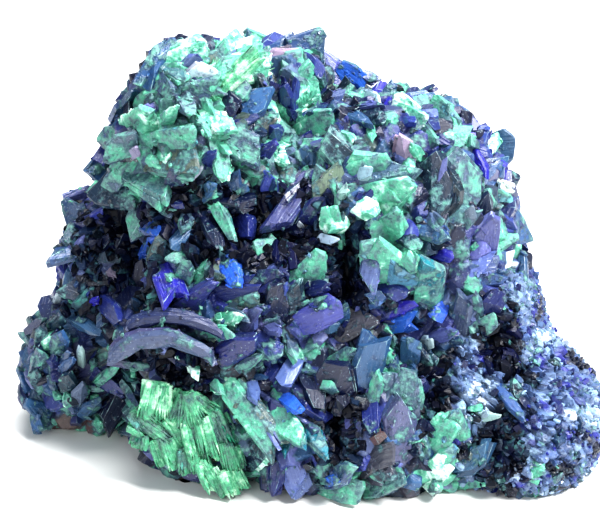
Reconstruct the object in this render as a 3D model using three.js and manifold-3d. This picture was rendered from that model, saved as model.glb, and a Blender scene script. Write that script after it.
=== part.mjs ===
import * as THREE from "three";
import { ConvexGeometry } from "three/addons/geometries/ConvexGeometry.js";
import { mergeVertices } from "three/addons/utils/BufferGeometryUtils.js";
import Module from "manifold-3d";

// Azurite specimen: a lumpy mass of bladed blue crystals, partly altered to green
// malachite, with a fan of fibrous malachite at the foot of its front.
// Millimetres, +Z up, the front towards -Y, the flat resting face at z = 0.

// The drawing plane of the front leans back by this angle and passes through MIDDLE.
// A place on it is (across, up); depth is measured from it towards the viewer.
const LEAN = THREE.MathUtils.degToRad(25);
const VIEW_DISTANCE = 320;
const MIDDLE = new THREE.Vector3(0, 0, 28);

// Rounded lobes that make up the mass, each a centre and three half widths.
const LOBES = [
  { name: "middle", at: [-1, 2, 24], half: [33, 24, 25] },
  { name: "dome", at: [-16, 3, 48], half: [13.5, 16, 17] },
  { name: "crown", at: [-1, 9, 56], half: [6, 9, 7] },
  { name: "right shoulder", at: [15, 1, 37], half: [20, 21, 19] },
  { name: "left upper", at: [-30, 2, 27], half: [9.5, 11, 11] },
  { name: "left lower", at: [-37, -2, 10], half: [9.5, 10, 12] },
  { name: "right flank", at: [29, -6, 20], half: [11, 15, 14.5] },
  { name: "right foot", at: [36, -13.5, 6], half: [14, 17.5, 13.5] },
  { name: "front foot", at: [10, -15, 8], half: [25, 16.5, 15] },
  { name: "fan seat", at: [-16, -14, 6], half: [10.5, 12.5, 14] },
  { name: "ledge", at: [-15, -12, 22], half: [14, 12, 7.5] },
  { name: "back", at: [0, 10, 18], half: [34, 20, 24] },
  { name: "back foot", at: [0, 6, 2], half: [40, 22, 12] },
];
const LOBE_BLEND = 0.55;

// Hollows in the mass, drawn on the front: across, up, depth and three half widths.
const HOLLOWS = [
  { name: "dark cave at the left", at: [-31, 0, 11.5], half: [6.8, 8, 8.8] },
  { name: "gap under the dome", at: [-9, 6, 21], half: [12, 5.5, 4.5] },
  { name: "slot right of the middle", at: [8, -1, 22], half: [2.6, 6, 6] },
  { name: "hole at the lower right", at: [33.5, -32, 19], half: [3, 5, 3.5] },
  { name: "hole on the right flank", at: [33, -13, 15], half: [2.8, 4.5, 2.8] },
  { name: "hole at the lower middle", at: [6.5, -28, 21], half: [2.4, 5.5, 5.5] },
  { name: "shade beside the tall crystal", at: [22, -23, 19], half: [2, 5, 3.2] },
  { name: "shade under the lip", at: [-22.5, -18, 18], half: [7.5, 4, 2] },
];

const BODY_CENTRE = new THREE.Vector3(0, 0, 26);
const BODY_DETAIL = 8;
const BODY_ROUGHNESS = 1.7;
const BODY_SEED = 7;

// Outlines of the crystal forms: share of the length, share of the width.
const OUTLINES = {
  blade: [[0, -0.34], [0, 0.36], [0.6, 0.5], [1, 0.06], [0.62, -0.5]],
  wedge: [[0, -0.3], [0, 0.3], [0.8, 0.5], [1, 0], [0.8, -0.5]],
  plate: [[0, -0.42], [0.06, 0.42], [0.72, 0.5], [1, 0.1], [0.84, -0.48]],
  lens: [[0, -0.06], [0.26, 0.42], [0.7, 0.46], [1, 0.04], [0.74, -0.44], [0.28, -0.44]],
};
const THICKNESS_SHARE = { blade: 0.4, wedge: 0.62, plate: 0.36, lens: 0.42 };
const THICKNESS_LEAST = 0.5;
const FRONT_INSET = 0.7;
const ROOT_SINK = 1.2;
const TIP_STAND = 1.35;

// Crystals drawn on the front: form, root (across, up), tip (across, up), width,
// roll of the broad face in degrees, height of the tip above the mass.
const FRONT_CRYSTALS = [
  // Dome at the upper left
  ["plate", -24.5, 26.5, -13.5, 29, 3.6, 10, 2],
  ["plate", -21, 33, -13.8, 36.6, 6, 15, 1.8],
  ["blade", -24.6, 29, -21, 37, 3.8, 55, 1.6],
  ["plate", -18.6, 29.6, -14.6, 32.4, 2.6, 10, 2.6],
  ["plate", -21.8, 33.5, -19, 30.2, 3.4, -20, 1.8],
  ["blade", -14.2, 27.4, -9.2, 34.6, 3.4, 30, 2.4],
  ["plate", -11.8, 31, -4.6, 33.6, 4.4, 15, 2.2],
  ["plate", -11, 34.2, -8.2, 38.2, 4, -20, 1.6],
  ["wedge", -12.6, 27.4, -8.4, 29.6, 3.4, -15, 2.2],
  ["blade", -9, 30.8, -5.6, 28.4, 3, 35, 2],
  ["blade", -9.6, 24.8, -4.2, 28.6, 3, -25, 2.4],
  ["wedge", -12.6, 27.4, -11, 24.2, 3.2, 30, 1.8],
  ["lens", -16.6, 25.6, -10.5, 21.3, 3, -15, 2.6],
  ["plate", -6.6, 21.4, -4.6, 25, 2.6, 20, 1.8],
  ["wedge", -5.4, 34.6, -3.4, 38, 2.8, 15, 1.8],
  ["plate", -3.6, 33.6, -0.6, 36, 3.4, -10, 1.6],
  ["plate", -0.6, 34.8, 4.8, 36.6, 4.4, 10, 1.2],
  ["lens", -31.2, 17, -27.6, 21.4, 3.6, 15, 2],
  ["plate", -31.2, 12.6, -29.4, 17, 2.8, -15, 1.8],
  ["blade", -33.6, 14.4, -31.8, 16.8, 2.6, 20, 1.2],
  ["plate", -29.6, 24, -27.2, 28.4, 3, 50, 1.2],
  ["plate", -28.4, 15.6, -21.6, 11, 4.2, -15, 2.4],
  ["plate", -32.6, 12.4, -28.2, 7.8, 4.8, 10, 2.4],
  ["plate", -25.4, 19.2, -17, 20.8, 3.6, 25, 2.6],
  ["plate", -24.4, 17.6, -16.8, 16.2, 4.4, -10, 2.4],
  ["blade", -28.6, 22.6, -24.6, 24.8, 2.8, 15, 2],
  ["plate", -12.6, 20.4, -6.4, 18, 4.6, 5, 2.4],
  ["plate", -12.6, 11.4, -9.2, 13.9, 2.6, 10, 2.4],
  // Middle band of large blades under the dome
  ["blade", -4.4, 8.6, -5.2, 14.6, 2.6, 15, 3.2],
  ["blade", 2.6, 15.2, -4.6, 4.8, 3.3, 10, 3.8],
  ["blade", -15.8, 8.4, -13.2, 2, 2.6, -30, 2.2],
  ["plate", -4.4, -0.6, -6.9, 3.7, 3.4, 10, 2.8],
  ["blade", -12.4, 10.6, -7.4, 9.6, 3, -50, 2.2],
  ["blade", -10.8, 8.4, -8.4, 3.6, 3, 30, 1.6],
  // Upper right
  ["wedge", 7.4, 31.7, 11, 29, 3, 10, 1.8],
  ["plate", 18.4, 26.3, 23.9, 27, 2.7, -15, 1.2],
  ["plate", 15.9, 24.6, 21.1, 23.2, 3, 10, 2.2],
  ["plate", 22.4, 24.9, 26.2, 22.3, 3.6, 15, 1.4],
  ["plate", 0, 21.9, 5.6, 23.8, 4.4, 10, 2.2],
  // Right of the middle, with the pair of leaf-like crystals
  ["blade", 8.3, 15.4, 3.5, 20.8, 3.6, -10, 3],
  ["plate", 9.8, 14.2, 13.7, 18.2, 4.2, 10, 2.6],
  ["lens", 18.6, 15.9, 16.4, 21.1, 2.6, -15, 2.8],
  ["plate", 5, 8.8, 4.4, 16.4, 4.2, 5, 3],
  ["plate", 5.2, 3.4, 5.5, 8.6, 2.9, -15, 2.8],
  ["wedge", 0.8, 5.4, 3.2, 10.8, 3.2, 20, 1.8],
  ["lens", 9, 11.8, 20.2, 15.2, 4.2, -20, 2.8],
  ["plate", 12.3, 9.8, 19.4, 11.6, 4.6, 10, 3.2],
  ["plate", 8.9, 9.8, 12.8, 8.1, 2.6, -15, 2.6],
  ["blade", 13, 8.8, 11, -4.6, 2.7, 15, 3.4],
  ["plate", 13.6, 4.3, 17.6, 7.1, 3.2, 10, 3.4],
  ["lens", 21, 6.8, 23, 17.8, 4.8, -30, 3.2],
  ["lens", 27.6, 7.6, 26.6, 18.2, 6.4, 25, 2.6],
  ["blade", 18.8, 5.7, 25, 3.9, 2.6, -15, 2.8],
  ["plate", 24, 19.8, 29.2, 21.6, 2.8, -10, 1.8],
  ["plate", 30.3, 1.8, 30.8, 7.4, 4.2, 10, 2.4],
  // Left lobe
  ["plate", -36.8, 6.4, -38.6, 10.6, 3.4, -15, 1.6],
  ["plate", -37, 3, -39.2, 5.9, 2.7, 15, 1.6],
  ["blade", -30.4, -0.8, -28.8, 4.6, 2.6, 30, 2],
  ["blade", -33.4, -7, -29.6, -9.8, 2.6, 25, 2],
  ["plate", -35.6, -5.4, -40.2, -3.8, 3.2, 15, 2],
  ["lens", -40.6, -15.6, -39.6, -11.8, 2.7, -15, 2.4],
  ["plate", -41.4, -26.2, -44.7, -22.2, 3.7, 15, 1.8],
  ["lens", -39, -22.8, -38.4, -18.8, 2.7, -20, 2.4],
  ["wedge", -28.8, -21.4, -33, -28.2, 3, -15, 3],
  // Ledge of stacked plates at the lower left
  ["wedge", -23.9, 0.8, -21, -6.8, 3.6, 10, 3],
  ["blade", -13, 0.8, -10, -4.4, 2.8, 15, 2.8],
  ["plate", -9, -3.8, -3, -2.6, 2.7, -20, 2.6],
  ["wedge", -4.9, -9.8, -2.7, -3.8, 3.2, 20, 2.4],
  ["lens", -20.2, -7.8, -11.2, -5.8, 3.2, -20, 2.8],
  ["plate", -11.2, -8.2, -6.8, -6.4, 2.8, 15, 2.4],
  ["blade", -27.6, -11.2, -20.6, -8.6, 2.6, 10, 2.6],
  ["blade", -21.6, -8.8, -10, -11.6, 2.6, 10, 2.6],
  ["blade", -30.4, -16, -25.4, -12, 3, 15, 3],
  ["plate", -26.6, -12.6, -17.8, -12.3, 3, 10, 3],
  ["blade", -18.8, -12.2, -14.2, -15.9, 3, 10, 3],
  ["plate", -10.1, -11, -6.4, -8.6, 2.6, -15, 2.6],
  ["blade", -14.2, -16.8, -7.2, -12.8, 3.3, 15, 3.4],
  ["wedge", -8.2, -12.8, -2.8, -15.6, 2.6, -20, 3],
  // Middle front
  ["plate", 0.9, -4.2, 1.6, 1.7, 4.6, 10, 2.8],
  ["wedge", -0.8, -11.2, 6.7, -6.8, 3.7, 15, 3.2],
  ["plate", 14.2, -4.4, 15.6, 3.2, 6, 5, 3.4],
  ["plate", 21.3, -7.4, 22.1, 0.3, 4, 10, 3.2],
  ["plate", 5.8, -12.4, 12.7, -9.3, 3.1, -10, 1.8],
  ["blade", 10.2, -21, 12.6, -12.8, 4.6, 15, 3.2],
  ["lens", 3.6, -22.8, 8.6, -17.6, 5.4, 10, 3],
  ["wedge", 18.4, -16.9, 18.6, -12.8, 2.7, -10, 2.6],
  ["plate", 20.4, -17.8, 21.1, -14.8, 2.7, -15, 2.4],
  ["blade", 16.8, -31.2, 16, -18.4, 6.6, 10, 3],
  ["wedge", 1.2, -19.2, 3.4, -24.8, 2.6, -20, 1.8],
  // Foot of the front
  ["blade", -12.6, -19.8, -3.7, -32.4, 3.6, 20, 3.6],
  ["blade", -5.6, -21.8, -0.2, -31.2, 3.5, 10, 3.4],
  ["plate", -1.7, -33.6, 0.2, -39.2, 3.3, 10, 2.8],
  ["plate", -9.2, -34.4, -6.8, -30.6, 3.1, -15, 2.2],
  ["blade", 3.8, -36.4, 9.2, -34.2, 3.1, -20, 2.6],
  ["plate", 4.3, -37.9, 10.7, -38.4, 3.6, 10, 2.4],
  ["plate", 10.8, -33.9, 15.7, -31.2, 3.2, -10, 2.4],
  ["plate", 11.6, -38.2, 17.2, -36.8, 3.6, -15, 2.2],
  ["plate", 20.8, -36.9, 24.7, -33.8, 3.6, 10, 2.6],
  ["plate", 21.3, -30.8, 25.7, -26.8, 4, -10, 2.6],
  // Flank at the lower right
  ["plate", 26, -30.4, 27.1, -25, 3.9, 10, 3],
  ["lens", 25.3, -34.7, 31.7, -29.8, 3.4, -20, 3.4],
  ["plate", 26.8, -1.7, 33.2, 0.6, 2.7, -10, 2],
  ["wedge", 30.8, -9.2, 33.2, -4.8, 2.9, 10, 1.6],
  ["blade", 26.8, -11.4, 27.6, -5.8, 2.7, -15, 2],
  // Foot of the left lobe
  ["plate", -28.8, -24.4, -25.2, -27.4, 2.8, 10, 2.4],
  ["plate", -29.2, -29, -25.6, -30.4, 2.6, -15, 2],
];

// Bundles of the malachite fan: tip (across, up), width, shift towards the viewer.
const FAN_ROOT = [-18.3, -21.2];
const FAN_BUNDLES = [
  [-25.2, -26.5, 3.2, 0],
  [-25.4, -30.5, 3.4, 0.4],
  [-24.2, -33.8, 3.2, 0],
  [-21.6, -35.6, 3.2, 0.7],
  [-19.2, -36.2, 2.8, 0.2],
  [-16.8, -36.6, 2.8, 0.9],
  [-14.6, -37.6, 2.8, 0.3],
  [-12.6, -38.4, 2.8, 0.8],
  [-10.4, -37.8, 2.8, 0.2],
  [-9.8, -34.2, 3, 0.6],
  [-11, -30, 2.6, 0],
];
const FAN_ROOT_DEPTH_Y = -23.5;
const FAN_FOOT_Y = -29.6;
const FAN_ROOT_Z = 17;
const FAN_THICKNESS = 2.6;
const FAN_GAP = 0.35;

// Crystals spread over the sides, the top and the back.
const SPREAD_COUNT = 80;
const SPREAD_SEED = 20;
const SPREAD_LENGTH = [8, 12];
const SPREAD_WIDTH = [4, 6.5];
// Where the surface turns this far to the viewer, the drawn crystals take over.
const SPREAD_FRONT = 0.5;
const SPREAD_LOWEST = 3;
const SPREAD_LEAN = [0.6, 1.15];
const SPREAD_ROLL = [-0.7, 0.7];
// Share of the length that stands out of the mass, and of the usual thickness.
const SPREAD_STAND = 0.45;
const SPREAD_THICKNESS = 0.7;
// How far down the spread reaches, as a share of the way from the top to the bottom of a ball.
const SPREAD_DOWN = 1.75;

// The right flank has a fine crust only: it starts this far across, further out higher up.
const FLANK_X = 24;
const FLANK_SLOPE = 0.35;
const FLANK_RISE = 14;
const FLANK_TOP = 31;

const wasm = await Module();
wasm.setup();

const toView = new THREE.Vector3(0, -Math.cos(LEAN), Math.sin(LEAN));
const upView = new THREE.Vector3(0, Math.sin(LEAN), Math.cos(LEAN));
const eye = MIDDLE.clone().addScaledVector(toView, VIEW_DISTANCE);

// Point seen at (across, up) on the drawing plane and lying this deep towards the viewer.
function place(across, up, depth) {
  const onPlane = MIDDLE.clone().addScaledVector(upView, up);
  onPlane.x += across;
  return eye.clone().lerp(onPlane, (VIEW_DISTANCE - depth) / VIEW_DISTANCE);
}

// Rough distance to an ellipsoid's surface, negative inside.
function ellipsoidDistance(point, centre, half) {
  const x = (point.x - centre[0]) / half[0];
  const y = (point.y - centre[1]) / half[1];
  const z = (point.z - centre[2]) / half[2];
  return (Math.hypot(x, y, z) - 1) * Math.min(...half);
}

const hollows = HOLLOWS.map(({ at, half }) => ({ at: place(...at).toArray(), half }));

// Distance to the surface of the whole mass, negative inside.
function massDistance(point) {
  let sum = 0;
  for (const lobe of LOBES) {
    sum += Math.exp(-LOBE_BLEND * ellipsoidDistance(point, lobe.at, lobe.half));
  }
  let distance = -Math.log(sum) / LOBE_BLEND;
  for (const hollow of hollows) {
    distance = Math.max(distance, -ellipsoidDistance(point, hollow.at, hollow.half));
  }
  return distance;
}

function massNormal(point) {
  const step = 0.4;
  const slope = ["x", "y", "z"].map((axis) => {
    const ahead = point.clone();
    const behind = point.clone();
    ahead[axis] += step;
    behind[axis] -= step;
    return massDistance(ahead) - massDistance(behind);
  });
  return new THREE.Vector3(...slope).normalize();
}

// First point of the mass on the way from one point to another, or null.
function firstHit(from, to) {
  const steps = 240;
  const point = new THREE.Vector3();
  for (let i = 1; i <= steps; i += 1) {
    if (massDistance(point.lerpVectors(from, to, i / steps)) > 0) continue;
    let outside = (i - 1) / steps;
    let inside = i / steps;
    for (let halving = 0; halving < 12; halving += 1) {
      const middle = (outside + inside) / 2;
      if (massDistance(point.lerpVectors(from, to, middle)) > 0) outside = middle;
      else inside = middle;
    }
    return point.lerpVectors(from, to, inside).clone();
  }
  return null;
}

// Depth of the mass behind a place on the drawing plane, or null beyond its edge.
function massDepth(across, up) {
  const hit = firstHit(place(across, up, 60), place(across, up, -60));
  return hit === null ? null : hit.sub(MIDDLE).dot(toView);
}

// Evenly spread repeatable numbers between 0 and 1.
function numberStream(seed) {
  let state = seed;
  return () => {
    state = (state + 0x6d2b79f5) >>> 0;
    let mixed = Math.imul(state ^ (state >>> 15), state | 1) >>> 0;
    mixed = (mixed ^ (mixed + Math.imul(mixed ^ (mixed >>> 7), mixed | 61))) >>> 0;
    return ((mixed ^ (mixed >>> 14)) >>> 0) / 4294967296;
  };
}

function solidOf(geometry) {
  const bare = geometry.clone();
  bare.deleteAttribute("normal");
  bare.deleteAttribute("uv");
  const merged = mergeVertices(bare, 1e-4);
  return new wasm.Manifold(new wasm.Mesh({
    numProp: 3,
    vertProperties: new Float32Array(merged.attributes.position.array),
    triVerts: new Uint32Array(merged.index.array),
  }));
}

// A flat-faced crystal: the outline of its form with a smaller face in front.
function crystal(form, root, tip, width, facing, thickness) {
  const along = tip.clone().sub(root);
  const length = along.length();
  along.divideScalar(length);
  const side = new THREE.Vector3().crossVectors(facing, along).normalize();
  const front = new THREE.Vector3().crossVectors(along, side);
  const points = [];
  for (const [lengthShare, widthShare] of OUTLINES[form]) {
    const back = root.clone();
    back.addScaledVector(along, lengthShare * length);
    back.addScaledVector(side, widthShare * width);
    back.addScaledVector(front, -thickness / 2);
    const fore = root.clone();
    fore.addScaledVector(along, (0.5 + (lengthShare - 0.5) * FRONT_INSET) * length);
    fore.addScaledVector(side, widthShare * width * FRONT_INSET);
    fore.addScaledVector(front, thickness / 2);
    points.push(back, fore);
  }
  return solidOf(new ConvexGeometry(points));
}

// The rounded mass, pushed out from its middle to its surface in every direction.
function mass() {
  const ball = mergeVertices(bareBall(BODY_DETAIL), 1e-4);
  const position = ball.attributes.position;
  const draw = numberStream(BODY_SEED);
  for (let i = 0; i < position.count; i += 1) {
    const direction = new THREE.Vector3().fromBufferAttribute(position, i).normalize();
    const far = BODY_CENTRE.clone().addScaledVector(direction, 90);
    const hit = firstHit(far, BODY_CENTRE);
    hit.addScaledVector(direction, BODY_ROUGHNESS * (2 * draw() - 1.2));
    position.setXYZ(i, hit.x, hit.y, hit.z);
  }
  return solidOf(ball);
}

function bareBall(detail) {
  const ball = new THREE.IcosahedronGeometry(1, detail);
  ball.deleteAttribute("normal");
  ball.deleteAttribute("uv");
  return ball;
}

// A crystal drawn on the front, its root set in the mass and its tip standing off it.
function frontCrystal([form, rootAcross, rootUp, tipAcross, tipUp, width, roll, lift]) {
  const tipDepth = massDepth(tipAcross, tipUp);
  const rootDepth = massDepth(rootAcross, rootUp) ?? tipDepth ?? 0;
  const root = place(rootAcross, rootUp, rootDepth - ROOT_SINK);
  const tip = place(tipAcross, tipUp, Math.max(tipDepth ?? -90, rootDepth - 4) + TIP_STAND * lift);
  const along = tip.clone().sub(root).normalize();
  root.addScaledVector(along, -ROOT_SINK);
  const facing = eye.clone().sub(root).normalize();
  facing.applyAxisAngle(along, THREE.MathUtils.degToRad(roll));
  const thickness = THICKNESS_SHARE[form] * width + THICKNESS_LEAST;
  return crystal(form, root, tip, width, facing, thickness);
}

function onFlank({ x, z }) {
  return x > FLANK_X + FLANK_SLOPE * Math.max(0, z - FLANK_RISE) && z < FLANK_TOP;
}

// Crystals on the sides, the top and the back, leaning every way from the surface.
function spreadCrystals() {
  const draw = numberStream(SPREAD_SEED);
  const between = ([low, high]) => low + (high - low) * draw();
  const forms = Object.keys(OUTLINES);
  const turn = Math.PI * (3 - Math.sqrt(5));
  const solids = [];
  for (let i = 0; i < SPREAD_COUNT; i += 1) {
    const height = 1 - (SPREAD_DOWN * (i + 0.5)) / SPREAD_COUNT;
    const ring = Math.sqrt(Math.max(0, 1 - height * height));
    const direction = new THREE.Vector3(ring * Math.cos(turn * i), ring * Math.sin(turn * i), height);
    const form = forms[Math.floor(draw() * forms.length)];
    const length = between(SPREAD_LENGTH);
    const width = between(SPREAD_WIDTH);
    const heading = draw() * 2 * Math.PI;
    const lean = between(SPREAD_LEAN);
    const roll = between(SPREAD_ROLL);
    const hit = firstHit(BODY_CENTRE.clone().addScaledVector(direction, 90), BODY_CENTRE);
    const normal = massNormal(hit);
    if (normal.dot(eye.clone().sub(hit).normalize()) > SPREAD_FRONT || hit.z < SPREAD_LOWEST) continue;
    if (onFlank(hit)) continue;
    const level = new THREE.Vector3(-normal.y, normal.x, 0.01).normalize();
    level.applyAxisAngle(normal, heading);
    const along = normal.clone().multiplyScalar(Math.cos(lean)).addScaledVector(level, Math.sin(lean));
    const facing = normal.clone().addScaledVector(along, -normal.dot(along)).normalize();
    facing.applyAxisAngle(along, roll);
    const root = hit.clone().addScaledVector(along, (SPREAD_STAND - 1) * length);
    const tip = hit.clone().addScaledVector(along, SPREAD_STAND * length);
    const thickness = SPREAD_THICKNESS * THICKNESS_SHARE[form] * width + THICKNESS_LEAST;
    solids.push(crystal(form, root, tip, width, facing, thickness));
  }
  return solids;
}

// Where a place on the drawing plane meets the leaning sheet of the fan.
function onFan(across, up, shift) {
  const normal = new THREE.Vector3(0, -FAN_ROOT_Z, FAN_ROOT_DEPTH_Y - FAN_FOOT_Y).normalize();
  const foot = new THREE.Vector3(0, FAN_FOOT_Y, 0);
  const near = place(across, up, 0);
  const ray = near.clone().sub(eye).normalize();
  const reach = foot.clone().sub(eye).dot(normal) / ray.dot(normal);
  return eye.clone().addScaledVector(ray, reach).addScaledVector(normal, shift);
}

// The fan of malachite; a positive growth gives the pocket that it sits in.
function fanSolid(growth) {
  const root = onFan(...FAN_ROOT, 0);
  const bundles = FAN_BUNDLES.map(([across, up, width, shift]) => {
    const tip = onFan(across, up, shift);
    const along = tip.clone().sub(root).normalize();
    const start = root.clone().addScaledVector(along, -1 - growth);
    const end = tip.clone().addScaledVector(along, growth);
    const facing = eye.clone().sub(root).normalize();
    return crystal("wedge", start, end, width + 2 * growth, facing, FAN_THICKNESS + 2 * growth);
  });
  return joined(bundles);
}

function joined(solids) {
  return solids.reduce((whole, solid) => whole.add(solid));
}

// The floor side of the specimen is ground flat at z = 0.
function groundFlat(solid) {
  const slab = new THREE.BoxGeometry(300, 300, 60);
  slab.translate(0, 0, -30);
  return solid.subtract(solidOf(slab));
}

// The one connected outer body, without closed voids or loose chips.
function largestBody(solid) {
  return solid.decompose().reduce((best, body) => (body.volume() > best.volume() ? body : best));
}

function meshOf(name, solid, material) {
  const { vertProperties, triVerts } = largestBody(solid).getMesh();
  const geometry = new THREE.BufferGeometry();
  geometry.setAttribute("position", new THREE.BufferAttribute(new Float32Array(vertProperties), 3));
  geometry.setIndex(new THREE.BufferAttribute(new Uint32Array(triVerts), 1));
  const flat = geometry.toNonIndexed();
  flat.computeVertexNormals();
  const mesh = new THREE.Mesh(flat, material);
  mesh.name = name;
  return mesh;
}

const azurite = new THREE.MeshStandardMaterial({ color: 0x2b2f6b, roughness: 0.35, metalness: 0 });
const malachite = new THREE.MeshStandardMaterial({ color: 0x5fa98a, roughness: 0.55, metalness: 0 });

const cluster = joined([mass(), ...FRONT_CRYSTALS.map(frontCrystal), ...spreadCrystals()]);

const specimen = new THREE.Group();
specimen.name = "azurite_specimen";
specimen.add(meshOf("azurite_cluster", groundFlat(cluster.subtract(fanSolid(FAN_GAP))), azurite));
specimen.add(meshOf("malachite_fan", groundFlat(fanSolid(0)), malachite));

export default specimen;
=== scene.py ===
"""Azurite specimen: a lump of intergrown blue blades with green malachite on it.

The front is laid out on a drawing plane that leans back as the viewer sees it.
Every crystal is set on one rounded mass, so it is held from any side.
"""
import math

import bpy
import numpy as np
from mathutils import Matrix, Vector
from mathutils.bvhtree import BVHTree
from mathutils.kdtree import KDTree


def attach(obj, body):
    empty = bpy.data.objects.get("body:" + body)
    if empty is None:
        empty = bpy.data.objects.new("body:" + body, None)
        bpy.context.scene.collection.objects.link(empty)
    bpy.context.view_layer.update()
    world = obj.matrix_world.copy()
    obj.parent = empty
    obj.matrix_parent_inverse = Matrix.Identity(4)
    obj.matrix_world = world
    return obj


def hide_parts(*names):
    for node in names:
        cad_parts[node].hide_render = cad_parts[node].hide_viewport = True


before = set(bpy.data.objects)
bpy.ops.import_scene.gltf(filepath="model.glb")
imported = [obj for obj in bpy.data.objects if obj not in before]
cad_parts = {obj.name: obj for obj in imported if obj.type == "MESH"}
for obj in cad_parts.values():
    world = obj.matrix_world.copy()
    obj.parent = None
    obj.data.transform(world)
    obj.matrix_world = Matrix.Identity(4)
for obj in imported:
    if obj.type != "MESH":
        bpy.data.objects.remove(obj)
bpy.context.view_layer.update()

MM = 0.001

# The drawing plane of the front: how far it leans back, where it passes, how far the eye is.
LEAN = math.radians(25)
VIEW_DISTANCE = 320.0
MIDDLE = np.array([0.0, 0.0, 28.0])
TO_VIEW = np.array([0.0, -math.cos(LEAN), math.sin(LEAN)])
UP_VIEW = np.array([0.0, math.sin(LEAN), math.cos(LEAN)])
EYE = MIDDLE + VIEW_DISTANCE * TO_VIEW

# The photograph's frame and its scale on the drawing plane.
PHOTO_WIDTH = 600
PIXELS_PER_MM = 6.0
SENSOR = 36.0

# Rounded lobes of the mass: centre and half widths in millimetres.
LOBES = [
    ("middle", (-1, 2, 24), (33, 24, 25)),
    ("dome", (-16, 3, 48), (13.5, 16, 17)),
    ("crown", (-1, 9, 56), (6, 9, 7)),
    ("right shoulder", (15, 1, 37), (20, 21, 19)),
    ("left upper", (-30, 2, 27), (9.5, 11, 11)),
    ("left lower", (-37, -2, 10), (9.5, 10, 12)),
    ("right flank", (29, -6, 20), (11, 15, 14.5)),
    ("right foot", (36, -13.5, 6), (14, 17.5, 13.5)),
    ("front foot", (10, -15, 8), (25, 16.5, 15)),
    ("fan seat", (-16, -14, 6), (10.5, 12.5, 14)),
    ("ledge", (-15, -12, 22), (14, 12, 7.5)),
    ("back", (0, 10, 18), (34, 20, 24)),
    ("back foot", (0, 6, 2), (40, 22, 12)),
]
LOBE_BLEND = 0.55

# Hollows, drawn on the front: across, up, depth and half widths.
HOLLOWS = [
    ("dark cave at the left", (-31, 0, 11.5), (6.8, 8, 8.8)),
    ("gap under the dome", (-9, 6, 21), (12, 5.5, 4.5)),
    ("slot right of the middle", (8, -1, 22), (2.6, 6, 6)),
    ("hole at the lower right", (33.5, -32, 19), (3, 5, 3.5)),
    ("hole on the right flank", (33, -13, 15), (2.8, 4.5, 2.8)),
    ("hole at the lower middle", (6.5, -28, 21), (2.4, 5.5, 5.5)),
    ("shade beside the tall crystal", (22, -23, 19), (2, 5, 3.2)),
    ("shade under the lip", (-22.5, -18, 18), (7.5, 4, 2)),
]
MASS_CENTRE = np.array([0.0, 0.0, 26.0])
UPRIGHT = np.array([0.0, 0.0, 1.0])

# Rays to the mass: how far off they start, how finely they are followed, the step for a slope.
FAR_OUT = 90.0
DRAWING_REACH = 60.0
RAY_STEPS = 120
RAY_HALVINGS = 10
SLOPE_STEP = 0.4

# Near a hollow the ground is calm and dark navy, painted shade in the recess, and the small crystals
# there are those of the lining.
HOLLOW_REACH = 1.3
HOLLOW_RELIEF = (-0.5, 0.1)
HOLLOW_CLEAR = 1.1
HOLLOW_SHADE = 0.5

# The lining of a hollow: finishes, how many for its size, how far past its edge, the share that is
# set from beside the front and how far round that is, length, brightness, how far it stands out.
# The lining's dark finishes and low brightness are painted shade in the hollow.
LINING = ["navy", "indigo", "navy", "plum", "teal", "navy", "slate"]
LINING_DENSITY = 6.0
LINING_SPREAD = 1.2
LINING_BESIDE = 0.4
LINING_TURN = 1.5
LINING_LENGTH = (1.8, 4.4)
LINING_SHADE = 0.42
LINING_STAND = 0.45

# How a drawn crystal sits: its root sinks in, its tip stands off by a share of the height given and
# is little deeper than the root, and the whole is wider than drawn. Thickness follows the width.
ROOT_SINK = 1.2
TIP_STAND = 1.35
TIP_DROP = 4.0
DRAWN_SWELL = 1.22
THICKNESS_SHARE = {"blade": 0.32, "rhomb": 0.3, "wedge": 0.55, "plate": 0.2, "lens": 0.26, "lip": 0.7}
THICKNESS_LEAST = 0.35

# Sheets of a layered crystal: how many, and how each one behind differs from the one in front.
LAYERS = {"blade": 2, "rhomb": 2, "wedge": 1, "plate": 2, "lens": 2, "lip": 2}
LAYER_STEP = 0.7
LAYER_DRIFT = 0.1
LAYER_FAN = 1.5
LAYER_TURN = 0.1
LAYER_GROWTH = 0.08
# Each sheet behind is darker by this share: painted shade under the sheet in front.
LAYER_SHADE = 0.15
LAYER_SHORTER = (-0.5, 0.9)

# Smaller crystals beside a larger one: how many, where they start, their lean and turn, their size
# as a share of the larger one, how many share its finish, their brightness.
COMPANION_COUNT = 2
COMPANION_BESIDE = 0.6
COMPANION_BEHIND = (0.6, 1.2)
COMPANION_DEEPER = 0.8
COMPANION_START = (-0.1, 0.25)
COMPANION_LEAN = 0.35
COMPANION_TURN = 0.4
COMPANION_LENGTH = (0.5, 0.85)
COMPANION_WIDTH = (0.45, 0.8)
COMPANION_THICKNESS = 0.5
COMPANION_THICKNESS_LEAST = 0.3
COMPANION_ALIKE = 0.65
# Companions are darker: painted shade beside and behind the larger crystal.
COMPANION_SHADE = 0.7

# Bevels of the crystal shapes, how uneven every copy is, and where its own map lies. No point of a
# piece is nearer to the floor than the gap.
BEVEL = 0.03
THIN_BEVEL = 0.025
BEVEL_SLACK = 1.15
MERGE_WITHIN = 0.0005
FLARE = 0.3
SKEW = 0.2
BLOOM_DRIFT = 0.12
GRAIN_SHIFT = 40
GRAIN_DEPTH = 0.6
FLOOR_GAP = 0.02

# A lip is a band arched sideways, with uneven cuts along it. Its root is little deeper than its tip.
LIP_ARCH = 1.15
LIP_TURN = 4.0
LIP_SIDES = 7
LIP_HALF_LENGTH = 1.5
LIP_FLATNESS = 0.6
LIP_TAPER = 0.22
LIP_UNEVEN = (0.82, 1.16)
LIP_JITTER = (0.07, 0.06)
LIP_CUTS = (-0.42, -0.3, -0.17, -0.05, 0.1, 0.2, 0.33, 0.43)

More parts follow.
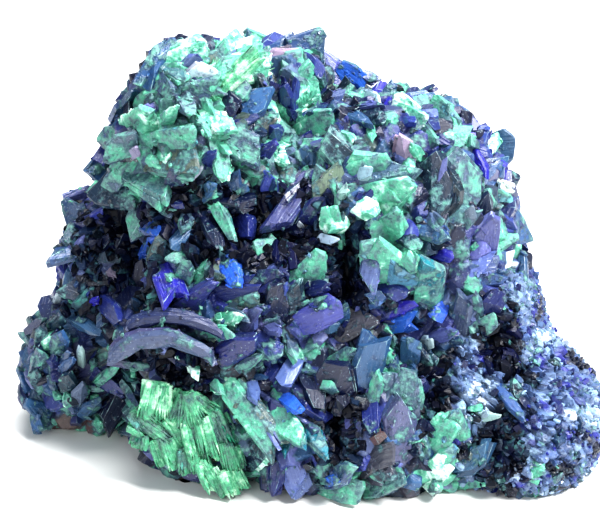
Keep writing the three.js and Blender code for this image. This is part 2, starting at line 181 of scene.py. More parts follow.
# Finishes seen on the crystals: colour of the azurite, how far it has turned to malachite.
FINISHES = {
    "indigo": ("#1d2760", 0.2),
    "violet": ("#313c80", 0.17),
    # This finish is azurite blue with a painted sheen of reflected light.
    "lilac": ("#545e92", 0.18),
    "navy": ("#081030", 0.14),
    "ultramarine": ("#24228c", 0.1),
    "azure": ("#2858b4", 0.2),
    "slate": ("#305078", 0.29),
    "plum": ("#27305a", 0.2),
    "mauve": ("#485076", 0.26),
    "rose": ("#8f7f98", 0.1),
    # This finish is a painted glint.
    "white_glint": ("#a9bcc8", 0.14),
    "pale": ("#a6ccc8", 0.86),
    "mint": ("#5c9aa0", 0.68),
    "emerald": ("#2d8f80", 0.68),
    "leaf": ("#3d6a70", 0.57),
    "sage": ("#4a5c74", 0.45),
    "teal": ("#17283c", 0.38),
    "aqua": ("#6aa6bc", 0.62),
    "turquoise": ("#1c7c8c", 0.4),
    "olive": ("#5c6a64", 0.43),
    "brown": ("#3c3c48", 0.26),
    "rust": ("#54403f", 0.1),
}

# How much crystals of one finish differ in brightness, hue and greenness, and the brightest tint.
TINT_SHADE = (0.75, 1.25)
TINT_HUE = (0.88, 1.12)
TINT_MOST = 0.95
BLOOM_SPREAD = 0.07

# Families of finishes: blue ones, those of the foot, green ones and those of the dome. A finish past
# GREEN_FINISH counts as green. The ground takes after this many of the drawn crystals near it.
BLUES = ["indigo", "violet", "navy", "indigo", "slate", "navy", "lilac", "plum", "indigo", "slate"]
FOOT = ["leaf", "brown", "mint", "plum", "emerald", "brown", "rust", "sage"]
FOOT_HEIGHT = 4.0
FOOT_SHARE = 0.7
GREENS = ["sage", "mint", "teal", "leaf", "sage", "emerald", "slate", "teal", "olive"]
GREEN_FINISH = 0.4
GREEN_PATCH = 0.55
PATCH_BLUR = 0.35
DOME_GREENS = ["sage", "mint", "leaf", "sage", "emerald", "olive"]
DOME_GREEN_SHARE = 0.7
DOME_RIGHT = 1.0
DOME_LOW = 11.0
GROUND_NEAR = 3

# Crystals of the front: form, finish, root (across, up), tip (across, up), width,
# roll of the broad face in degrees, height of the tip above the mass.
FRONT_CRYSTALS = [
    # Dome at the upper left
    ("rhomb", "sage", -24.5, 26.5, -12.8, 29.2, 2.8, 10, 2.2),
    ("plate", "mint", -21, 32.4, -15, 34.8, 4.4, 15, 1.2),
    ("blade", "slate", -24.6, 29, -21, 37, 3.8, 55, 1.6),
    ("plate", "white_glint", -18.6, 29.6, -14.6, 32.4, 2.6, 10, 2.6),
    ("plate", "leaf", -21.8, 33.5, -19, 30.2, 3.4, -20, 1.8),
    ("blade", "lilac", -19.2, 31.4, -16.6, 33.8, 2.2, 30, 2),
    ("blade", "mint", -14.2, 27.4, -9.2, 34.6, 3.4, 30, 2.4),
    ("plate", "pale", -11.8, 31, -4.6, 33.6, 4.4, 15, 2.2),
    ("blade", "mint", -13, 34.4, -11, 37.4, 2.2, 25, 1.8),
    ("plate", "pale", -11, 34.2, -8.2, 38.2, 4, -20, 1.6),
    ("blade", "emerald", -8.6, 36.6, -5.6, 35.2, 2.2, 20, 1.8),
    ("wedge", "sage", -12.6, 27.4, -8.4, 29.6, 3.4, -15, 2.2),
    ("blade", "teal", -9, 30.8, -5.6, 28.4, 3, 35, 2),
    ("blade", "lilac", -7.2, 31.2, -5.8, 29.2, 1.2, 10, 2.8),
    ("blade", "slate", -9.6, 24.8, -4.2, 28.6, 3, -25, 2.4),
    ("wedge", "navy", -12.6, 27.4, -11, 24.2, 3.2, 30, 1.8),
    ("lens", "mint", -16.6, 25.6, -10.5, 21.3, 3, -15, 2.6),
    ("blade", "emerald", -18, 24.2, -15, 20.5, 1.6, 25, 2.2),
    ("blade", "pale", -22.4, 22.3, -21, 25.8, 1.6, 20, 2.6),
    ("blade", "sage", -20, 27.6, -18, 24.3, 2.2, -35, 2),
    ("blade", "sage", -23.8, 30.6, -21.2, 27.4, 2.4, 25, 2),
    ("plate", "plum", -11, 22.8, -6.6, 23.3, 2.2, -20, 1.6),
    ("plate", "olive", -6.6, 21.4, -4.6, 25, 2.6, 20, 1.8),
    ("blade", "indigo", -2.3, 24.8, -2.3, 29.4, 2.2, -30, 2.4),
    ("blade", "violet", -0.9, 24.5, -0.7, 30.5, 1.3, 40, 2.6),
    ("wedge", "violet", -5.4, 34.6, -3.4, 38, 2.8, 15, 1.8),
    ("plate", "rose", -3.6, 33.6, -0.6, 36, 3.4, -10, 1.6),
    ("plate", "slate", -0.6, 34.8, 4.8, 36.6, 4.4, 10, 1.2),
    ("blade", "violet", -3.4, 20.6, -4.6, 22.4, 2.2, 20, 1.8),
    ("lens", "sage", -31.2, 17, -27.6, 21.4, 3.6, 15, 2),
    ("plate", "rose", -29.4, 17, -27, 18.6, 1.6, 10, 2.2),
    ("plate", "sage", -31.2, 12.6, -29.4, 17, 2.8, -15, 1.8),
    ("blade", "slate", -33.6, 14.4, -31.8, 16.8, 2.6, 20, 1.2),
    ("wedge", "indigo", -33, 17, -31.2, 19.2, 2.2, -30, 1.2),
    ("blade", "lilac", -31.4, 19.8, -30.4, 22.8, 2.4, 35, 1.2),
    ("plate", "slate", -29.6, 24, -27.2, 28.4, 3, 50, 1.2),
    ("rhomb", "leaf", -28.6, 15.8, -21.2, 10.6, 3.6, -15, 2.4),
    ("plate", "teal", -32.6, 12.4, -28.2, 7.8, 4.8, 10, 2.4),
    ("blade", "sage", -34, 11.8, -31.4, 10.6, 2.2, -20, 1.4),
    ("plate", "mint", -25.4, 19.2, -17, 20.8, 3.6, 25, 2.6),
    ("plate", "olive", -24.4, 17.6, -16.8, 16.2, 4.4, -10, 2.4),
    ("blade", "mint", -28.6, 22.6, -24.6, 24.8, 2.8, 15, 2),
    ("blade", "violet", -16.4, 15.8, -13.8, 18.2, 1.5, 25, 2.8),
    ("blade", "emerald", -14, 20.6, -12.6, 13.4, 2.4, -15, 2.6),
    ("wedge", "teal", -13, 19.4, -10, 17, 1.6, 35, 2),
    ("rhomb", "sage", -13, 20.6, -5.8, 17.8, 4.2, 5, 2.4),
    ("blade", "violet", -6.6, 16.2, -4.2, 19.8, 1.7, 30, 2.8),
    ("plate", "pale", -4.4, 18.2, -1.6, 16.8, 2.4, -10, 2.6),
    ("blade", "olive", -9.6, 15.6, -5.4, 14.8, 1.7, -35, 2.4),
    ("wedge", "plum", -21.6, 12.2, -19.8, 14.8, 2.5, 20, 2),
    ("blade", "white_glint", -18.8, 13.2, -16.2, 15.4, 0.9, 30, 2.6),
    ("blade", "slate", -17, 10.4, -14.2, 12.9, 2.1, -20, 2.2),
    ("plate", "slate", -12.6, 11.4, -9.2, 13.9, 2.6, 10, 2.4),
    ("blade", "indigo", -21.6, 11, -19.6, 9, 1.8, -25, 1.8),
    ("plate", "sage", -23.8, 9.8, -21.2, 7.8, 1.9, 10, 1.8),
    # Middle band of large blades under the dome
    ("lens", "violet", -4.6, 8.6, -5.4, 14.8, 2.4, 15, 3.2),
    ("blade", "mint", -5.2, 8.2, -4, 13.8, 1.1, 55, 2.8),
    ("rhomb", "plum", 3, 15.6, -4.9, 4.4, 2.9, 18, 3.8),
    ("blade", "navy", -2.6, 7.2, 0, 4.4, 1.7, -25, 2.6),
    ("blade", "emerald", -14.8, 10.6, -11.2, 3.2, 1.6, 25, 3),
    ("blade", "navy", -15.8, 8.4, -13.2, 2, 2.6, -30, 2.2),
    ("blade", "sage", -18.4, 8.4, -19.8, 4.8, 1.8, 15, 2.6),
    ("wedge", "slate", -17.6, 5.6, -21.4, 1.8, 2.3, -20, 2.4),
    ("plate", "sage", -17, 2.4, -22.2, -0.2, 2.1, 20, 2.4),
    ("plate", "aqua", -4.4, -0.6, -6.9, 3.7, 3.4, 10, 2.8),
    ("blade", "navy", -12.4, 10.6, -7.4, 9.6, 3, -50, 2.2),
    ("blade", "indigo", -10.8, 8.4, -8.4, 3.6, 3, 30, 1.6),
    ("blade", "lilac", -28.2, 7.2, -24.2, 4.4, 2, 10, 2.2),
    ("wedge", "azure", -25.6, 6, -23.4, 4.6, 2, -10, 2.4),
    ("wedge", "azure", -25.9, 0.2, -24.2, 3.8, 2, 20, 2.4),
    # Upper right
    ("wedge", "violet", 1, 33.6, 3.6, 30.4, 2.4, 15, 1.6),
    ("blade", "lilac", 4.2, 33.6, 7.3, 31.1, 2, -20, 1.4),
    ("blade", "mint", 0.5, 28.8, 1.6, 33, 1.9, 20, 2.2),
    ("blade", "mint", 0.6, 26.8, 2.7, 30.6, 2, -25, 2),
    ("plate", "lilac", 5.2, 26.7, 7.9, 27.7, 1.7, 15, 2),
    ("wedge", "azure", 7.4, 31.7, 11, 29, 3, 10, 1.8),
    ("blade", "lilac", 10.3, 31, 13.6, 30.1, 1.6, -25, 1.2),
    ("wedge", "ultramarine", 12.9, 26.9, 14.1, 29.9, 2.1, 15, 1.8),
    ("plate", "white_glint", 10.4, 27.6, 13.4, 26.4, 1.8, 10, 2),
    ("blade", "slate", 14.4, 26.4, 15.3, 30.1, 1.7, -20, 1.4),
    ("plate", "slate", 15.8, 27.9, 18.7, 28.7, 1.7, 30, 1.2),
    ("blade", "ultramarine", 14.2, 24.9, 15.3, 27.6, 1.1, 15, 2.2),
    ("plate", "slate", 18.4, 26.3, 23.9, 27, 2.7, -15, 1.2),
    ("plate", "pale", 15.9, 24.6, 21.1, 23.2, 3, 10, 2.2),
    ("wedge", "violet", 17.1, 22.9, 19.4, 23.3, 1.4, -20, 2.6),
    ("plate", "aqua", 22.4, 24.9, 26.2, 22.3, 3.6, 15, 1.4),
    ("blade", "indigo", 21.4, 24.6, 22.9, 21.7, 1.7, -25, 2),
    ("plate", "emerald", 0, 21.9, 5.6, 23.8, 4.4, 10, 2.2),
    ("blade", "slate", 6.4, 25.9, 12.1, 22.1, 1.9, -30, 2.6),
    ("blade", "lilac", 10.4, 25.1, 14.3, 25.6, 1.5, 35, 2.2),
    ("wedge", "teal", 11.4, 24.9, 14.1, 23, 2.1, -15, 2),
    ("blade", "emerald", 11.6, 23.1, 11.9, 19.8, 1.1, 20, 2.4),
    ("blade", "indigo", 5.6, 23.4, 6.8, 20.4, 1.6, 30, 2),
    ("wedge", "violet", 5.8, 29.6, 8.2, 28, 2, -15, 1.6),
    ("plate", "sage", 20.2, 21.8, 22.6, 19, 2, 20, 1.8),
    ("wedge", "indigo", 22, 20.2, 25, 19.4, 1.4, -20, 2),
    # Right of the middle, with the pair of leaf-like crystals
    ("rhomb", "teal", 8.6, 15.2, 3.3, 21, 3.6, -10, 3),
    ("blade", "ultramarine", 9.2, 16.8, 5.2, 21.6, 1.3, 45, 3.4),
    ("blade", "pale", 9.3, 18.4, 6.8, 21.6, 1.3, -30, 2.8),
    ("plate", "mint", 9.8, 14.2, 13.7, 18.2, 4.2, 10, 2.6),
    ("blade", "white_glint", 9.6, 14.2, 12.2, 15.1, 1.5, -20, 3),
    ("lens", "rose", 18.6, 15.9, 16.4, 21.1, 2.6, -15, 2.8),
    ("blade", "pale", 20.4, 16.6, 18.7, 19.6, 1.5, 20, 2.4),
    ("plate", "olive", 5, 8.8, 4.4, 16.4, 4.2, 5, 3),
    ("blade", "white_glint", 6.6, 9.7, 7.8, 12.8, 1, 35, 3.6),
    ("plate", "aqua", 5.2, 3.4, 5.5, 8.6, 2.9, -15, 2.8),
    ("plate", "white_glint", 0.2, 4.6, 6.2, 3.3, 1.3, 0, 4),
    ("wedge", "indigo", 0.8, 5.4, 3.2, 10.8, 3.2, 20, 1.8),
    ("lens", "sage", 9, 11.8, 20.2, 15.2, 4.2, -20, 2.8),
    ("plate", "emerald", 12.3, 9.8, 19.4, 11.6, 4.6, 10, 3.2),
    ("plate", "pale", 8.9, 9.8, 12.8, 8.1, 2.6, -15, 2.6),
    ("rhomb", "lilac", 13.2, 9, 11, -5.6, 2.4, 15, 3.6),
    ("plate", "emerald", 13.6, 4.3, 17.6, 7.1, 3.2, 10, 3.4),
    ("wedge", "teal", 16.2, 4.8, 20.2, 2.1, 2.1, -25, 2.8),
    ("lens", "teal", 21, 6.5, 23.2, 18.2, 5.5, -30, 3.2),
    ("blade", "lilac", 22.2, 7.2, 24.3, 17.2, 1.1, 20, 4.2),
    ("lens", "sage", 25.2, 6, 26.4, 18.6, 7.6, 25, 2.8),
    ("blade", "slate", 18.8, 5.7, 25, 3.9, 2.6, -15, 2.8),
    ("blade", "navy", 19.8, 3.3, 25.2, 2.4, 2.1, 20, 2.6),
    ("wedge", "ultramarine", 21.8, 1.3, 25.7, 0.5, 1.7, -15, 2.6),
    ("plate", "sage", 21, 7.7, 23.7, 5.8, 1.8, 10, 3.4),
    ("plate", "aqua", 24, 19.8, 29.2, 21.6, 2.8, -10, 1.8),
    ("wedge", "ultramarine", 28, 19.3, 28.8, 21.5, 1.3, 15, 2),
    ("blade", "violet", 29.8, 19.5, 30.9, 22.7, 1.7, -20, 1.6),
    ("plate", "pale", 31.4, 18.6, 33.3, 20.6, 1.8, 10, 1.2),
    ("wedge", "violet", 30, 17.8, 32.2, 17.2, 1.8, -15, 1.4),
    ("blade", "ultramarine", 29, 17.7, 31.3, 13.7, 1.5, 25, 2),
    ("plate", "slate", 31.2, 13.4, 33, 17.1, 2.3, 10, 1.4),
    ("wedge", "ultramarine", 33, 15.4, 34.4, 16.6, 1.5, -20, 1.2),
    ("wedge", "ultramarine", 32.9, 13.6, 34.6, 14.8, 1.6, 15, 1.2),
    ("plate", "white_glint", 31.9, 13, 36, 11.9, 1.8, -10, 1.2),
    ("blade", "mint", 32.4, 11.3, 35.2, 10.2, 1.5, 20, 1.6),
    ("wedge", "plum", 33.9, 7.2, 35.1, 10.2, 2.2, -15, 1.4),
    ("blade", "violet", 33.4, 7.1, 36.1, 5.2, 1.5, 25, 1.4),
    ("plate", "lilac", 30.3, 1.8, 30.8, 7.4, 4.2, 10, 2.4),
    ("plate", "emerald", 32.8, 2.9, 35.7, 5.2, 2.5, -15, 1.6),
    ("blade", "teal", 30.4, 8.4, 31.6, 11.6, 2.2, 20, 2),
    ("blade", "slate", 37, -3.2, 36.9, 1.9, 1.4, -15, 1),
    ("plate", "sage", 26.2, 5.3, 29.4, 8.6, 2.1, 10, 2.6),
    # Left lobe
    ("plate", "slate", -36.8, 6.4, -38.6, 10.6, 3.4, -15, 1.6),
    ("blade", "lilac", -38.2, 10.2, -34.4, 11.6, 1.7, 35, 1.2),
    ("plate", "sage", -37, 3, -39.2, 5.9, 2.7, 15, 1.6),
    ("blade", "teal", -37.6, 1.1, -41.1, 2.1, 1.9, -20, 1.2),
    ("blade", "violet", -35.6, 5.9, -32.8, 8.8, 1.3, 20, 2.4),
    ("blade", "navy", -34.2, 1, -31.8, 4.2, 1.8, -35, 2.4),
    ("blade", "navy", -30.4, -0.8, -28.8, 4.6, 2.6, 30, 2),
    ("blade", "navy", -27.4, -6.2, -26, 0.4, 2.4, -25, 1.6),
    ("blade", "indigo", -33.4, -7, -29.6, -9.8, 2.6, 25, 2),
    ("lens", "rose", -32.8, 0.4, -30.8, -2.8, 1.5, -10, 3),
    ("plate", "teal", -35.6, -5.4, -40.2, -3.8, 3.2, 15, 2),
    ("blade", "white_glint", -40.8, -7.4, -39.9, -5.3, 1, 20, 2),
    ("wedge", "plum", -41.6, -8.8, -42.6, -5.8, 2.4, -20, 1.4),
    ("blade", "violet", -38.4, -2.8, -39.6, 0.6, 2, 30, 1.6),
    ("blade", "ultramarine", -35.4, -7.9, -33.6, -6.2, 1.1, 15, 2.4),
    ("blade", "slate", -38.6, -8.7, -33.2, -12.4, 1.8, -25, 3),
    ("blade", "teal", -43.3, -14.7, -42.7, -10.8, 1.8, 10, 2.2),
    ("lens", "slate", -40.6, -15.6, -39.6, -11.8, 2.7, -15, 2.4),
    ("plate", "sage", -43.2, -18.2, -42.9, -14.6, 2.3, 20, 2.2),
    ("plate", "slate", -44.2, -17.2, -46.2, -13.9, 2.5, -30, 1.2),
    ("plate", "sage", -44.4, -13.2, -46, -11.2, 1.9, 25, 1.2),
    ("blade", "plum", -45, -11.6, -42.4, -9.6, 1.5, -20, 1.4),
    ("plate", "teal", -41.6, -11.6, -39.6, -9.4, 2.1, 15, 2),
    ("blade", "white_glint", -36.4, -17.2, -36.6, -14.4, 1, -30, 2.6),
    ("blade", "leaf", -34.4, -21, -29.6, -17.2, 1.2, 25, 2.8),
    ("plate", "slate", -40.2, -18.2, -38.2, -15.8, 2.1, -15, 2.2),
    ("plate", "slate", -44.8, -20.7, -46.2, -17.4, 2.5, 30, 1.2),
    ("plate", "teal", -43.2, -21, -44.6, -18.4, 2.1, -10, 1.8),
    ("plate", "slate", -41.4, -26.2, -44.7, -22.2, 3.7, 15, 1.8),
    ("lens", "teal", -39, -22.8, -38.4, -18.8, 2.7, -20, 2.4),
    ("lens", "sage", -37.6, -25.4, -36, -20.4, 2.4, 30, 2.4),
    ("lens", "slate", -36.8, -26.6, -33.4, -23.2, 2.4, 45, 2),
    ("blade", "plum", -45.6, -23.6, -46.8, -20.6, 1.4, 35, 1),
    ("wedge", "slate", -43.6, -27.4, -44.8, -24.2, 1.6, -25, 1.2),
    ("rhomb", "navy", -28.6, -21, -33.2, -28.6, 2.8, -15, 3),
    ("blade", "indigo", -33.6, -19.4, -29.4, -22.4, 2, 25, 2),
    # Ledge of stacked plates at the lower left
    ("rhomb", "ultramarine", -23.9, 1, -21, -7, 3.2, 10, 3),
    ("blade", "sage", -19.8, -4.4, -18.8, 0.2, 2.3, -15, 2.8),
    ("plate", "olive", -17, -3.2, -12.6, -3, 1.9, -25, 2),
    ("blade", "azure", -13, 0.8, -10, -4.4, 2.8, 15, 2.8),
    ("plate", "plum", -9, -3.8, -3, -2.6, 2.7, -20, 2.6),
    ("wedge", "navy", -4.9, -9.8, -2.7, -3.8, 3.2, 20, 2.4),
    ("blade", "violet", -2.3, -9.2, -2.3, -3.6, 1, -50, 2.8),
    ("rhomb", "teal", -0.8, -10, -0.9, -3.4, 2.2, 10, 2.8),
    ("plate", "olive", -11.2, -8.2, -6.8, -6.4, 2.8, 15, 2.4),
    ("blade", "pale", -13.6, -10, -9.6, -9.2, 1.6, -20, 3),
    ("lip", "mauve", -30.6, -16.4, -14.2, -16.2, 2.5, 20, 2.2),
    ("lip", "plum", -27.8, -11.6, -12.4, -12.4, 1.6, 15, 2.2),
    ("plate", "indigo", -26.4, -11.2, -20.4, -9, 2, 20, 2.4),
    ("plate", "violet", -20.6, -8.4, -13, -4.4, 2.6, 25, 2.4),
    ("plate", "indigo", -15.4, -5.8, -6.8, -3.8, 2.5, 20, 2.4),
    ("plate", "leaf", -24.8, -11.6, -23, -9.4, 1.6, 0, 3.2),
    ("plate", "sage", -13.6, -8.2, -8.6, -9.6, 1.5, 20, 2.6),
    ("plate", "emerald", -16.2, -12.7, -11.2, -12.1, 1.9, 20, 3),
    ("plate", "lilac", -10.1, -11, -6.4, -8.6, 2.6, -15, 2.6),
    ("blade", "indigo", -14.2, -16.8, -7.2, -12.8, 3.3, 15, 3.4),
    ("wedge", "violet", -8.2, -12.8, -2.8, -15.6, 2.6, -20, 3),
    ("blade", "sage", -11.2, -18.6, -6.4, -15.8, 1.5, 25, 3.2),
    ("blade", "pale", -18.2, -16.2, -17, -19.9, 1.3, -15, 3.4),
    ("blade", "emerald", -16.2, -17.6, -12.8, -22.4, 1.9, 20, 3.2),
    ("blade", "lilac", -5.7, -10.3, -3.4, -12.2, 1.7, -20, 2.4),
    ("wedge", "lilac", -0.1, -16, -3.2, -20.8, 2.2, 15, 2.6),
    ("blade", "sage", -1.6, -12.6, -0.6, -17, 1.6, -30, 2.2),
    # Middle front
    ("plate", "aqua", 0.9, -4.2, 1.6, 1.7, 4.6, 10, 2.8),
    ("blade", "indigo", 0.4, -4.8, 5, -3.9, 1.7, -30, 2.8),
    ("wedge", "violet", -0.8, -11.2, 6.7, -6.8, 3.7, 15, 3.2),
    ("plate", "sage", -0.4, -8.4, 4.4, -6.6, 1.6, -20, 3.4),
    ("blade", "slate", 7, -10.8, 7.4, -7.1, 1.7, 25, 2),
    ("plate", "aqua", 14.2, -4.4, 15.6, 3.2, 6, 5, 3.4),
    ("blade", "emerald", 17.4, -4.2, 18.1, 1.3, 2.3, -20, 3.6),
    ("rhomb", "turquoise", 21, -7.6, 22.1, 0.5, 3.6, 10, 3.2),
    ("wedge", "indigo", 13.3, -3.4, 17.7, -6.2, 2.5, -15, 2.4),
    ("wedge", "slate", 10.4, -6.8, 14.1, -5.8, 2.3, 20, 2.4),
    ("plate", "ultramarine", 13.8, -8.6, 19.6, -7.9, 2.3, -15, 2.6),
    ("plate", "azure", 14.3, -10.7, 19.7, -9.9, 2.5, 10, 2.8),
    ("plate", "brown", 5.8, -12.4, 12.7, -9.3, 3.1, -10, 1.8),
    ("rhomb", "slate", 10, -21.4, 12.8, -12.4, 4.2, 15, 3.2),
    ("blade", "sage", 3.8, -17.8, 9.2, -14.8, 1.9, -25, 3.2),
    ("lens", "navy", 3.6, -22.8, 8.6, -17.6, 5.4, 10, 3),
    ("plate", "teal", 13.9, -14.4, 14.6, -12.2, 2.2, -15, 2.4),
    ("lens", "leaf", 16, -16.9, 13.2, -14.6, 2, 15, 2.8),
    ("wedge", "slate", 18.4, -16.9, 18.6, -12.8, 2.7, -10, 2.6),
    ("plate", "white_glint", 20.1, -14.3, 22.1, -13.5, 1.7, 10, 2.4),
    ("plate", "teal", 20.4, -17.8, 21.1, -14.8, 2.7, -15, 2.4),
    ("blade", "lilac", 21.3, -13.3, 26.2, -11.8, 1.8, 20, 2.2),
    ("wedge", "azure", 23.9, -7.4, 22.4, -9.9, 1.9, -15, 2.2),
    ("plate", "sage", 16.4, -26, 16, -18.2, 5.6, 10, 3.2),
    ("blade", "mauve", 17.2, -33, 16.4, -22.4, 4.6, 24, 2.8),
    ("blade", "mint", 12, -24.6, 13.1, -18.2, 1.7, -30, 3),
    ("blade", "lilac", 10.8, -20.8, 7.9, -28.4, 1.9, 30, 2.6),
    ("wedge", "navy", 1.2, -19.2, 3.4, -24.8, 2.6, -20, 1.8),
    ("blade", "indigo", 11.6, -22.8, 12.4, -28.6, 2.4, 25, 1.6),
    # Foot of the front
    ("rhomb", "olive", -12.8, -19.4, -3.5, -32.8, 3.2, 20, 3.6),
    ("blade", "lilac", -11, -20.4, -3.3, -31.6, 1.1, 60, 3.8),
    ("blade", "lilac", -8.2, -19.2, -7.4, -23.8, 1.7, -15, 2.8),
    ("blade", "aqua", -5.6, -21.8, -0.2, -31.2, 3.5, 10, 3.4),
    ("wedge", "azure", -2.8, -22.6, 0.4, -25.4, 1.8, -20, 3.8),
    ("blade", "turquoise", -1.9, -27.6, 0.6, -31.6, 2, 15, 4),
    ("blade", "turquoise", 0.2, -24.8, 4.6, -33.2, 2.1, -25, 3),
    ("blade", "indigo", -3.8, -32.6, -4.1, -39.2, 2.3, 15, 2.8),
    ("wedge", "plum", -5.6, -36.2, -4.9, -39.6, 2.1, -20, 2.4),
    ("plate", "lilac", -1.7, -33.6, 0.2, -39.2, 3.3, 10, 2.8),
    ("plate", "teal", -9.2, -34.4, -6.8, -30.6, 3.1, -15, 2.2),
    ("plate", "pale", -9.1, -36.4, -5.3, -34.2, 2.2, 15, 2.6),
    ("blade", "slate", 3.8, -36.4, 9.2, -34.2, 3.1, -20, 2.6),
    ("plate", "leaf", 4.3, -37.9, 10.7, -38.4, 3.6, 10, 2.4),
    ("wedge", "azure", 4.2, -36.9, 6.4, -36.2, 1.4, 15, 3),
    ("plate", "brown", 10.8, -33.9, 15.7, -31.2, 3.2, -10, 2.4),
    ("wedge", "rust", 11.8, -30.4, 14.3, -28.8, 1.4, 15, 2.2),
    ("plate", "leaf", 11.6, -38.2, 17.2, -36.8, 3.6, -15, 2.2),
    ("wedge", "slate", 17.2, -36, 20.2, -37.6, 2.2, 20, 2.2),
    ("plate", "brown", 18.6, -39.6, 24.6, -39, 2.2, -10, 1.8),
    ("plate", "pale", 20.8, -36.9, 24.7, -33.8, 3.6, 10, 2.6),
    ("plate", "aqua", 21.3, -30.8, 25.7, -26.8, 4, -10, 2.6),
    ("blade", "navy", 18.3, -30.4, 20.4, -32.6, 2, 20, 2),
    ("wedge", "navy", 20.8, -21, 22.6, -25.2, 2.2, -20, 1.4),
    # Flank at the lower right
    ("plate", "aqua", 26, -30.4, 27.1, -25, 3.9, 10, 3),
    ("lens", "slate", 25.3, -34.7, 31.7, -29.8, 3.4, -20, 3.4),
    ("plate", "white_glint", 29.8, -26.2, 33.2, -25.4, 1.4, 15, 2.4),
    ("blade", "slate", 33, -20.8, 37.2, -26.8, 1.5, -30, 2.4),
    ("blade", "slate", 28, -3.4, 34.6, -2.9, 1.9, 15, 1.8),
    ("plate", "lilac", 26.8, -1.7, 33.2, 0.6, 2.7, -10, 2),
    ("plate", "white_glint", 33, -0.7, 36.2, 0.9, 1.9, 10, 1.4),
    ("plate", "sage", 28.8, -12.4, 32.7, -9.3, 2.5, 15, 2),
    ("blade", "sage", 29.8, -10, 29.2, -5.1, 1.2, -25, 3),
    ("wedge", "indigo", 30.8, -9.2, 33.2, -4.8, 2.9, 10, 1.6),
    ("rhomb", "mauve", 26.6, -11.8, 27.8, -5.4, 2.6, -15, 2),
    ("plate", "emerald", 34, -40, 40.2, -38, 2, 10, 1.6),
    ("plate", "mint", 27, -40.2, 32.2, -39.3, 1.8, -10, 1.8),
    ("plate", "brown", 40.6, -38.6, 45, -37.8, 2.2, 15, 1.4),
    # Foot of the left lobe
    ("plate", "sage", -28.8, -24.4, -25.2, -27.4, 2.8, 10, 2.4),
    ("lens", "mint", -35.4, -28.9, -32.8, -27.9, 2.1, -10, 1.8),
    ("plate", "leaf", -32.4, -30, -29.8, -29, 2.1, 15, 1.8),
    ("plate", "mint", -40.2, -29.8, -37.2, -29, 1.5, 10, 1.2),
    ("plate", "sage", -29.2, -29, -25.6, -30.4, 2.6, -15, 2),
]

# The leaning sheet that the fan of malachite lies on, and how its slats sink towards their ends.
FAN_ROOT_Y = -23.5
FAN_ROOT_Z = 17.0
FAN_FOOT_Y = -29.6
FAN_SINK = 0.7
TONGUE_ROOT = 0.5

# A slat is a solid sheet with low fibres on its front.
SLAT_ROLL = 0.25
SLAT_SPLAY = (0.05, 0.35)
SLAT_SWELL = 1.1
SLAT_DEPTH = 0.5
SLAT_FRONT = 0.15
FIBRE_WIDTH = 0.5
FIBRE_PITCH = 0.8
FIBRE_THICKNESS = (0.8, 2.0)
FIBRE_FLATNESS = 0.9
FIBRE_WAVE = 0.15
FIBRE_WAVES = 2.2
FIBRE_UNEVEN = 0.04
FIBRE_START = 0.25
FIBRE_END = 0.45
FIBRE_TURN = 0.2
FIBRE_SHADE = (0.9, 1.1)
FIBRE_BLOOM = 0.03

# Fibrous slats of the fan: start, end, width, rise above the sheet, finish.
FAN_SLATS = [
    (-23.4, -20.0, -24.4, -26.6, 4.6, 1.6, "pale"),
    (-21.4, -20.6, -23.2, -26.8, 3.2, 1.2, "mint"),
    (-27.6, -24.6, -24.6, -28.2, 3.4, 0.9, "mint"),
    (-28.6, -27.2, -25.6, -28.6, 2.0, 0.6, "pale"),
    (-25.4, -26.4, -20.4, -29.8, 3.6, 0.6, "leaf"),
    (-22.4, -26.2, -18.6, -30.2, 2.4, 1.0, "leaf"),
    (-24.0, -29.6, -22.2, -34.2, 3.0, 0.4, "emerald"),
    (-21.8, -29.4, -20.0, -34.6, 3.4, 0.6, "emerald"),
    (-19.6, -31.0, -18.8, -35.8, 2.4, 0.9, "mint"),
    (-26.6, -28.8, -27.4, -31.4, 2.6, 0.3, "emerald"),
    (-18.8, -21.8, -21.0, -27.4, 2.6, 2.0, "mint"),
    (-18.7, -21.6, -19.4, -27.8, 2.2, 2.4, "leaf"),
    (-18.6, -21.6, -17.6, -27.6, 2.2, 2.6, "mint"),
    (-18.5, -21.6, -15.8, -26.6, 2.2, 2.4, "mint"),
    (-18.4, -21.7, -14.0, -25.4, 2.0, 2.0, "emerald"),
    (-19.0, -26.4, -17.4, -33.4, 1.9, 1.5, "pale"),
    (-17.4, -26.2, -15.9, -32.4, 1.5, 1.3, "mint"),
    (-16.2, -25.8, -14.0, -33.4, 1.7, 1.6, "pale"),
    (-14.6, -25.0, -12.2, -31.4, 2.6, 1.2, "leaf"),
    (-13.2, -25.6, -10.6, -31.0, 2.2, 0.8, "emerald"),
    (-12.6, -30.2, -11.2, -35.8, 2.6, 1.3, "emerald"),
    (-11.0, -30.6, -9.9, -34.8, 2.0, 0.9, "emerald"),
    (-16.8, -33.2, -14.0, -38.6, 2.4, 0.8, "mint"),
    (-15.0, -34.6, -12.2, -39.2, 2.4, 1.1, "emerald"),
    (-12.8, -34.8, -10.6, -39.2, 2.2, 1.4, "pale"),
    (-10.8, -34.6, -9.2, -38.2, 1.8, 1.1, "pale"),
    (-18.0, -30.6, -17.2, -35.6, 1.6, 0.7, "emerald"),
    (-16.2, -31.6, -15.2, -35.2, 1.2, 0.2, "emerald"),
]
# A silky tongue of the same fibres on the dome: start, end, width, height above the mass, finish.
TONGUE_SLATS = [
    (-14.4, 27.2, -9.6, 34.4, 2.8, 1.6, "mint"),
    (-13.2, 28.6, -6.8, 34.8, 2.6, 2.2, "pale"),
    (-12.2, 30.2, -4.6, 33.8, 3.4, 2.8, "pale"),
    (-11.4, 29.4, -4.8, 32.0, 2.0, 2.4, "pale"),
    (-14.0, 29.6, -13.2, 34.0, 2.0, 1.4, "mint"),
]

